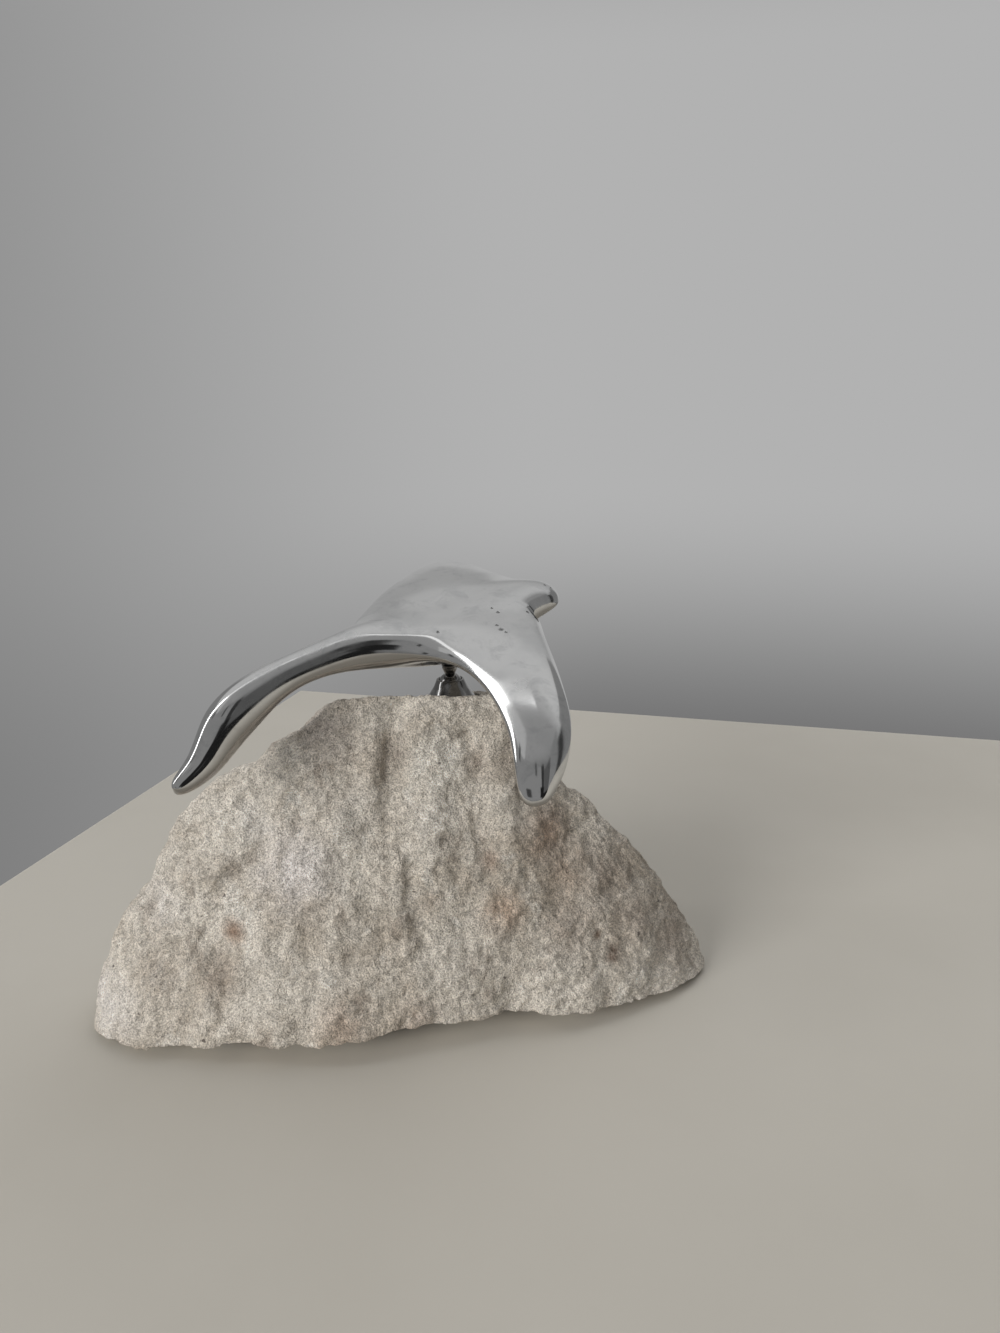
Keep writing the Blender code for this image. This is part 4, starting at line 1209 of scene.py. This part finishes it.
def open_for_wing(i, k):
    """Whether the body's face from side k to the next, ahead of section i, is left to a wing."""
    on_left = k in (0, SPINE_SIDES - 1) and LEFT_ROOT_SECTIONS[0] <= i < LEFT_ROOT_SECTIONS[1]
    on_right = k in (3, 4) and RIGHT_ROOT_SECTIONS[0] <= i < RIGHT_ROOT_SECTIONS[1]
    return on_left or on_right


def goose_mesh():
    """The goose as one closed skin: its body, left open where each wing then grows out of it."""
    form = bmesh.new()
    rings = [[form.verts.new(point) for point in ring] for ring in spine_rings()]
    for i in range(len(rings) - 1):
        for k in range(SPINE_SIDES):
            n = (k + 1) % SPINE_SIDES
            if not open_for_wing(i, k):
                form.faces.new((rings[i][k], rings[i + 1][k], rings[i + 1][n], rings[i][n]))
    for ring in (rings[0], rings[-1]):
        form.faces.new((ring[0], ring[1], ring[2], ring[3]))
        form.faces.new((ring[0], ring[3], ring[4], ring[7]))
        form.faces.new((ring[7], ring[4], ring[5], ring[6]))
    add_wing(form, rings, 1, LEFT_ROOT_SECTIONS, LEFT_WING)
    add_wing(form, rings, -1, RIGHT_ROOT_SECTIONS, RIGHT_WING)
    bmesh.ops.scale(form, vec=(MM, MM, MM), verts=form.verts)
    form.transform(stud_frame() @ Matrix.Translation((0.0, 0.0, BALL_TO_BELLY)))
    return mesh_from(form, "goose", ALL_SMOOTH)


def goose():
    """The cast goose, drilled from below for the washer and the shank."""
    bird = add_object("goose", goose_mesh(), polished_aluminium())
    smooth = bird.modifiers.new("smooth", "SUBSURF")
    smooth.levels = CAST_SMOOTHING
    smooth.render_levels = CAST_SMOOTHING
    face_radius = WASHER_RADIUS + 2 * CLEARANCE
    face = WASHER_TOP + CLEARANCE
    hole = SHANK_RADIUS + CLEARANCE
    end = SHANK_TOP + THREAD_RUNOUT
    drilling = [(0.0, 0.0), (face_radius, 0.0), (face_radius, face), (hole, face), (hole, end), (0.0, end)]
    cutter = cut(bird, "goose_drilling", drilling, stud_frame())
    finished(bird)
    bpy.data.objects.remove(cutter)
    # How far each point faces down, for the painted shade on the underside.
    facing_down = bird.data.attributes.new("facing_down", "FLOAT", "POINT")
    for point in bird.data.vertices:
        facing_down.data[point.index].value = -point.normal.z
    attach(bird, "goose")
    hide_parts("goose_casting")


def table_top():
    """The pale table, with its corner where the photograph shows it."""
    form = bmesh.new()
    bmesh.ops.create_cube(form, size=1.0)
    bmesh.ops.scale(form, vec=(TABLE_LENGTH, TABLE_DEPTH, TABLE_THICKNESS), verts=form.verts)
    offset = (TABLE_LENGTH / 2, -TABLE_DEPTH / 2, -TABLE_THICKNESS / 2)
    bmesh.ops.translate(form, vec=offset, verts=form.verts)
    form.transform(Matrix.Translation((*TABLE_CORNER, 0.0)) @ Matrix.Rotation(TABLE_TURN, 4, "Z"))
    table = add_object("table_top", mesh_from(form, "table_top", CREASE_ANGLE), cream_table())
    rounding = table.modifiers.new("rounding", "BEVEL")
    rounding.width = TABLE_EDGE
    rounding.segments = TABLE_EDGE_STEPS
    finished(table)


def camera():
    """The lens of the photograph."""
    lens = bpy.data.cameras.new("camera")
    lens.lens = LENS_LENGTH
    lens.sensor_width = LENS_FRAME
    lens.clip_start = LENS_NEAREST
    eye = bpy.data.objects.new("camera", lens)
    bpy.context.collection.objects.link(eye)
    eye.location = LENS_PLACE
    eye.rotation_euler = (math.radians(90.0) - LENS_DOWN, 0.0, LENS_TURN)
    bpy.context.scene.camera = eye


def area_light(name, place, size, power, colour):
    """A flat lamp that faces the sculpture and isn't mirrored by it."""
    lamp = bpy.data.lights.new(name, "AREA")
    lamp.shape = "RECTANGLE"
    lamp.size, lamp.size_y = size
    lamp.energy = power
    lamp.color = colour
    holder = bpy.data.objects.new(name, lamp)
    bpy.context.collection.objects.link(holder)
    holder.location = place
    holder.rotation_euler = (Vector(place) - LAMP_AIM).to_track_quat("Z", "Y").to_euler()
    holder.visible_glossy = False


def within(tree, value, low, high, soft):
    """One between two limits and nothing beyond them, with soft ends."""
    rise = spread(tree, value, low - soft, low + soft)
    fall = spread(tree, value, high - soft, high + soft, 1.0, 0.0)
    return product(tree, rise, fall)


def blended(tree, share, first, second):
    """A value between two others, each a number or another node's output."""
    return node(tree, "ShaderNodeMix", {0: share, 2: first, 3: second}, data_type="FLOAT").outputs[0]


def with_skylight(tree, shade, across, along, upward):
    """Adds the skylight to the light that comes from each direction of the room."""
    leaning = product(tree, upward, SKYLIGHT_LEAN)
    nearer = arithmetic(tree, "SUBTRACT", product(tree, along, -1.0), leaning)
    skylight = within(tree, nearer, *SKYLIGHT_SIDES, SKYLIGHT_SOFTNESS)
    foot_from, foot_to = SKYLIGHT_FOOT - SKYLIGHT_FOOT_SOFTNESS, SKYLIGHT_FOOT + SKYLIGHT_FOOT_SOFTNESS
    skylight = product(tree, skylight, spread(tree, upward, foot_from, foot_to))
    end_from, end_to = SKYLIGHT_END + SKYLIGHT_END_SOFTNESS, SKYLIGHT_END - SKYLIGHT_END_SOFTNESS
    skylight = product(tree, skylight, spread(tree, across, end_from, end_to))
    dim_from, dim_to = SKYLIGHT_DIM_FROM - SKYLIGHT_DIM_SOFTNESS, SKYLIGHT_DIM_FROM + SKYLIGHT_DIM_SOFTNESS
    overhead = spread(tree, upward, dim_from, dim_to)
    return blended(tree, skylight, shade, blended(tree, overhead, SKYLIGHT_LIGHT, SKYLIGHT_DIM_LIGHT))


def room():
    """The plain grey room round the table: walls, ceiling, a long skylight and the dim near side."""
    world = bpy.data.worlds.new("room")
    bpy.context.scene.world = world
    world.use_nodes = True
    tree = world.node_tree
    direction = node(tree, "ShaderNodeTexCoord").outputs["Generated"]
    across, along, upward = node(tree, "ShaderNodeSeparateXYZ", {"Vector": direction}).outputs
    turn_behind = arithmetic(tree, "ARCTAN2", across, along)
    turn_before = arithmetic(tree, "ARCTAN2", across, product(tree, along, -1.0))
    high = blended(tree, spread(tree, turn_behind, *WALL_TURN), *WALL_LIGHT)
    falling = blended(tree, spread(tree, turn_behind, *WALL_FOOT_TURN), *WALL_FOOT_SHARE)
    low = product(tree, high, falling)
    wall = blended(tree, spread(tree, upward, *WALL_FOOT_RISE), low, high)
    over = arithmetic(tree, "ARCTAN2", upward, along)
    ceiling = node(tree, "ShaderNodeValToRGB")
    band = ceiling.color_ramp
    band.interpolation = "EASE"
    for element, (place, light) in zip(band.elements, (CEILING_BANDS[0], CEILING_BANDS[-1])):
        element.position = place
        element.color = (light, light, light, 1.0)
    for place, light in CEILING_BANDS[1:-1]:
        band.elements.new(place).color = (light, light, light, 1.0)
    link(tree, arithmetic(tree, "DIVIDE", over, math.pi), ceiling.inputs["Fac"])
    shade = blended(tree, spread(tree, upward, *CEILING_RISE), wall, ceiling.outputs["Color"])
    for turn, rise, light in ROOM_PATCHES:
        sideways = within(tree, turn_before, *turn, PATCH_SOFTNESS)
        patch = product(tree, sideways, within(tree, upward, *rise, PATCH_SOFTNESS))
        shade = blended(tree, patch, shade, light)
    shade = with_skylight(tree, shade, across, along, upward)
    grey = node(tree, "ShaderNodeCombineColor", {"Red": shade, "Green": shade, "Blue": shade})
    link(tree, grey.outputs["Color"], tree.nodes["Background"].inputs["Color"])


def lights():
    """Soft light from the window on the left and from the ceiling."""
    for name, (place, size, power, colour) in LAMPS.items():
        area_light(name, place, size, power, colour)


def carried_over(frame):
    """Gives the solids that stay as they are the finish of what they are made of."""
    steel, nylon, resin = [plain_finish(name) for name in ("zinc_steel", "moulded_nylon", "set_resin")]
    finishes = {"anchor_rod": steel, "base_plate": steel, "spring_washer": steel}
    finishes.update({"ball_seat": nylon, "anchor_resin": resin})
    for name, finish in finishes.items():
        mesh = frame["nodes"][name].data
        mesh.materials.clear()
        mesh.materials.append(finish)


def main():
    """Builds the scene."""
    for thing in list(bpy.data.objects):
        bpy.data.objects.remove(thing)
    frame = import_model()
    carried_over(frame)
    goose()
    stone()
    felt_pads()
    chrome = plain_finish("dark_chrome")
    dome(chrome)
    stud(chrome)
    washer(chrome)
    table_top()
    room()
    lights()
    camera()
    bpy.context.scene.view_settings.view_transform = "Standard"


main()
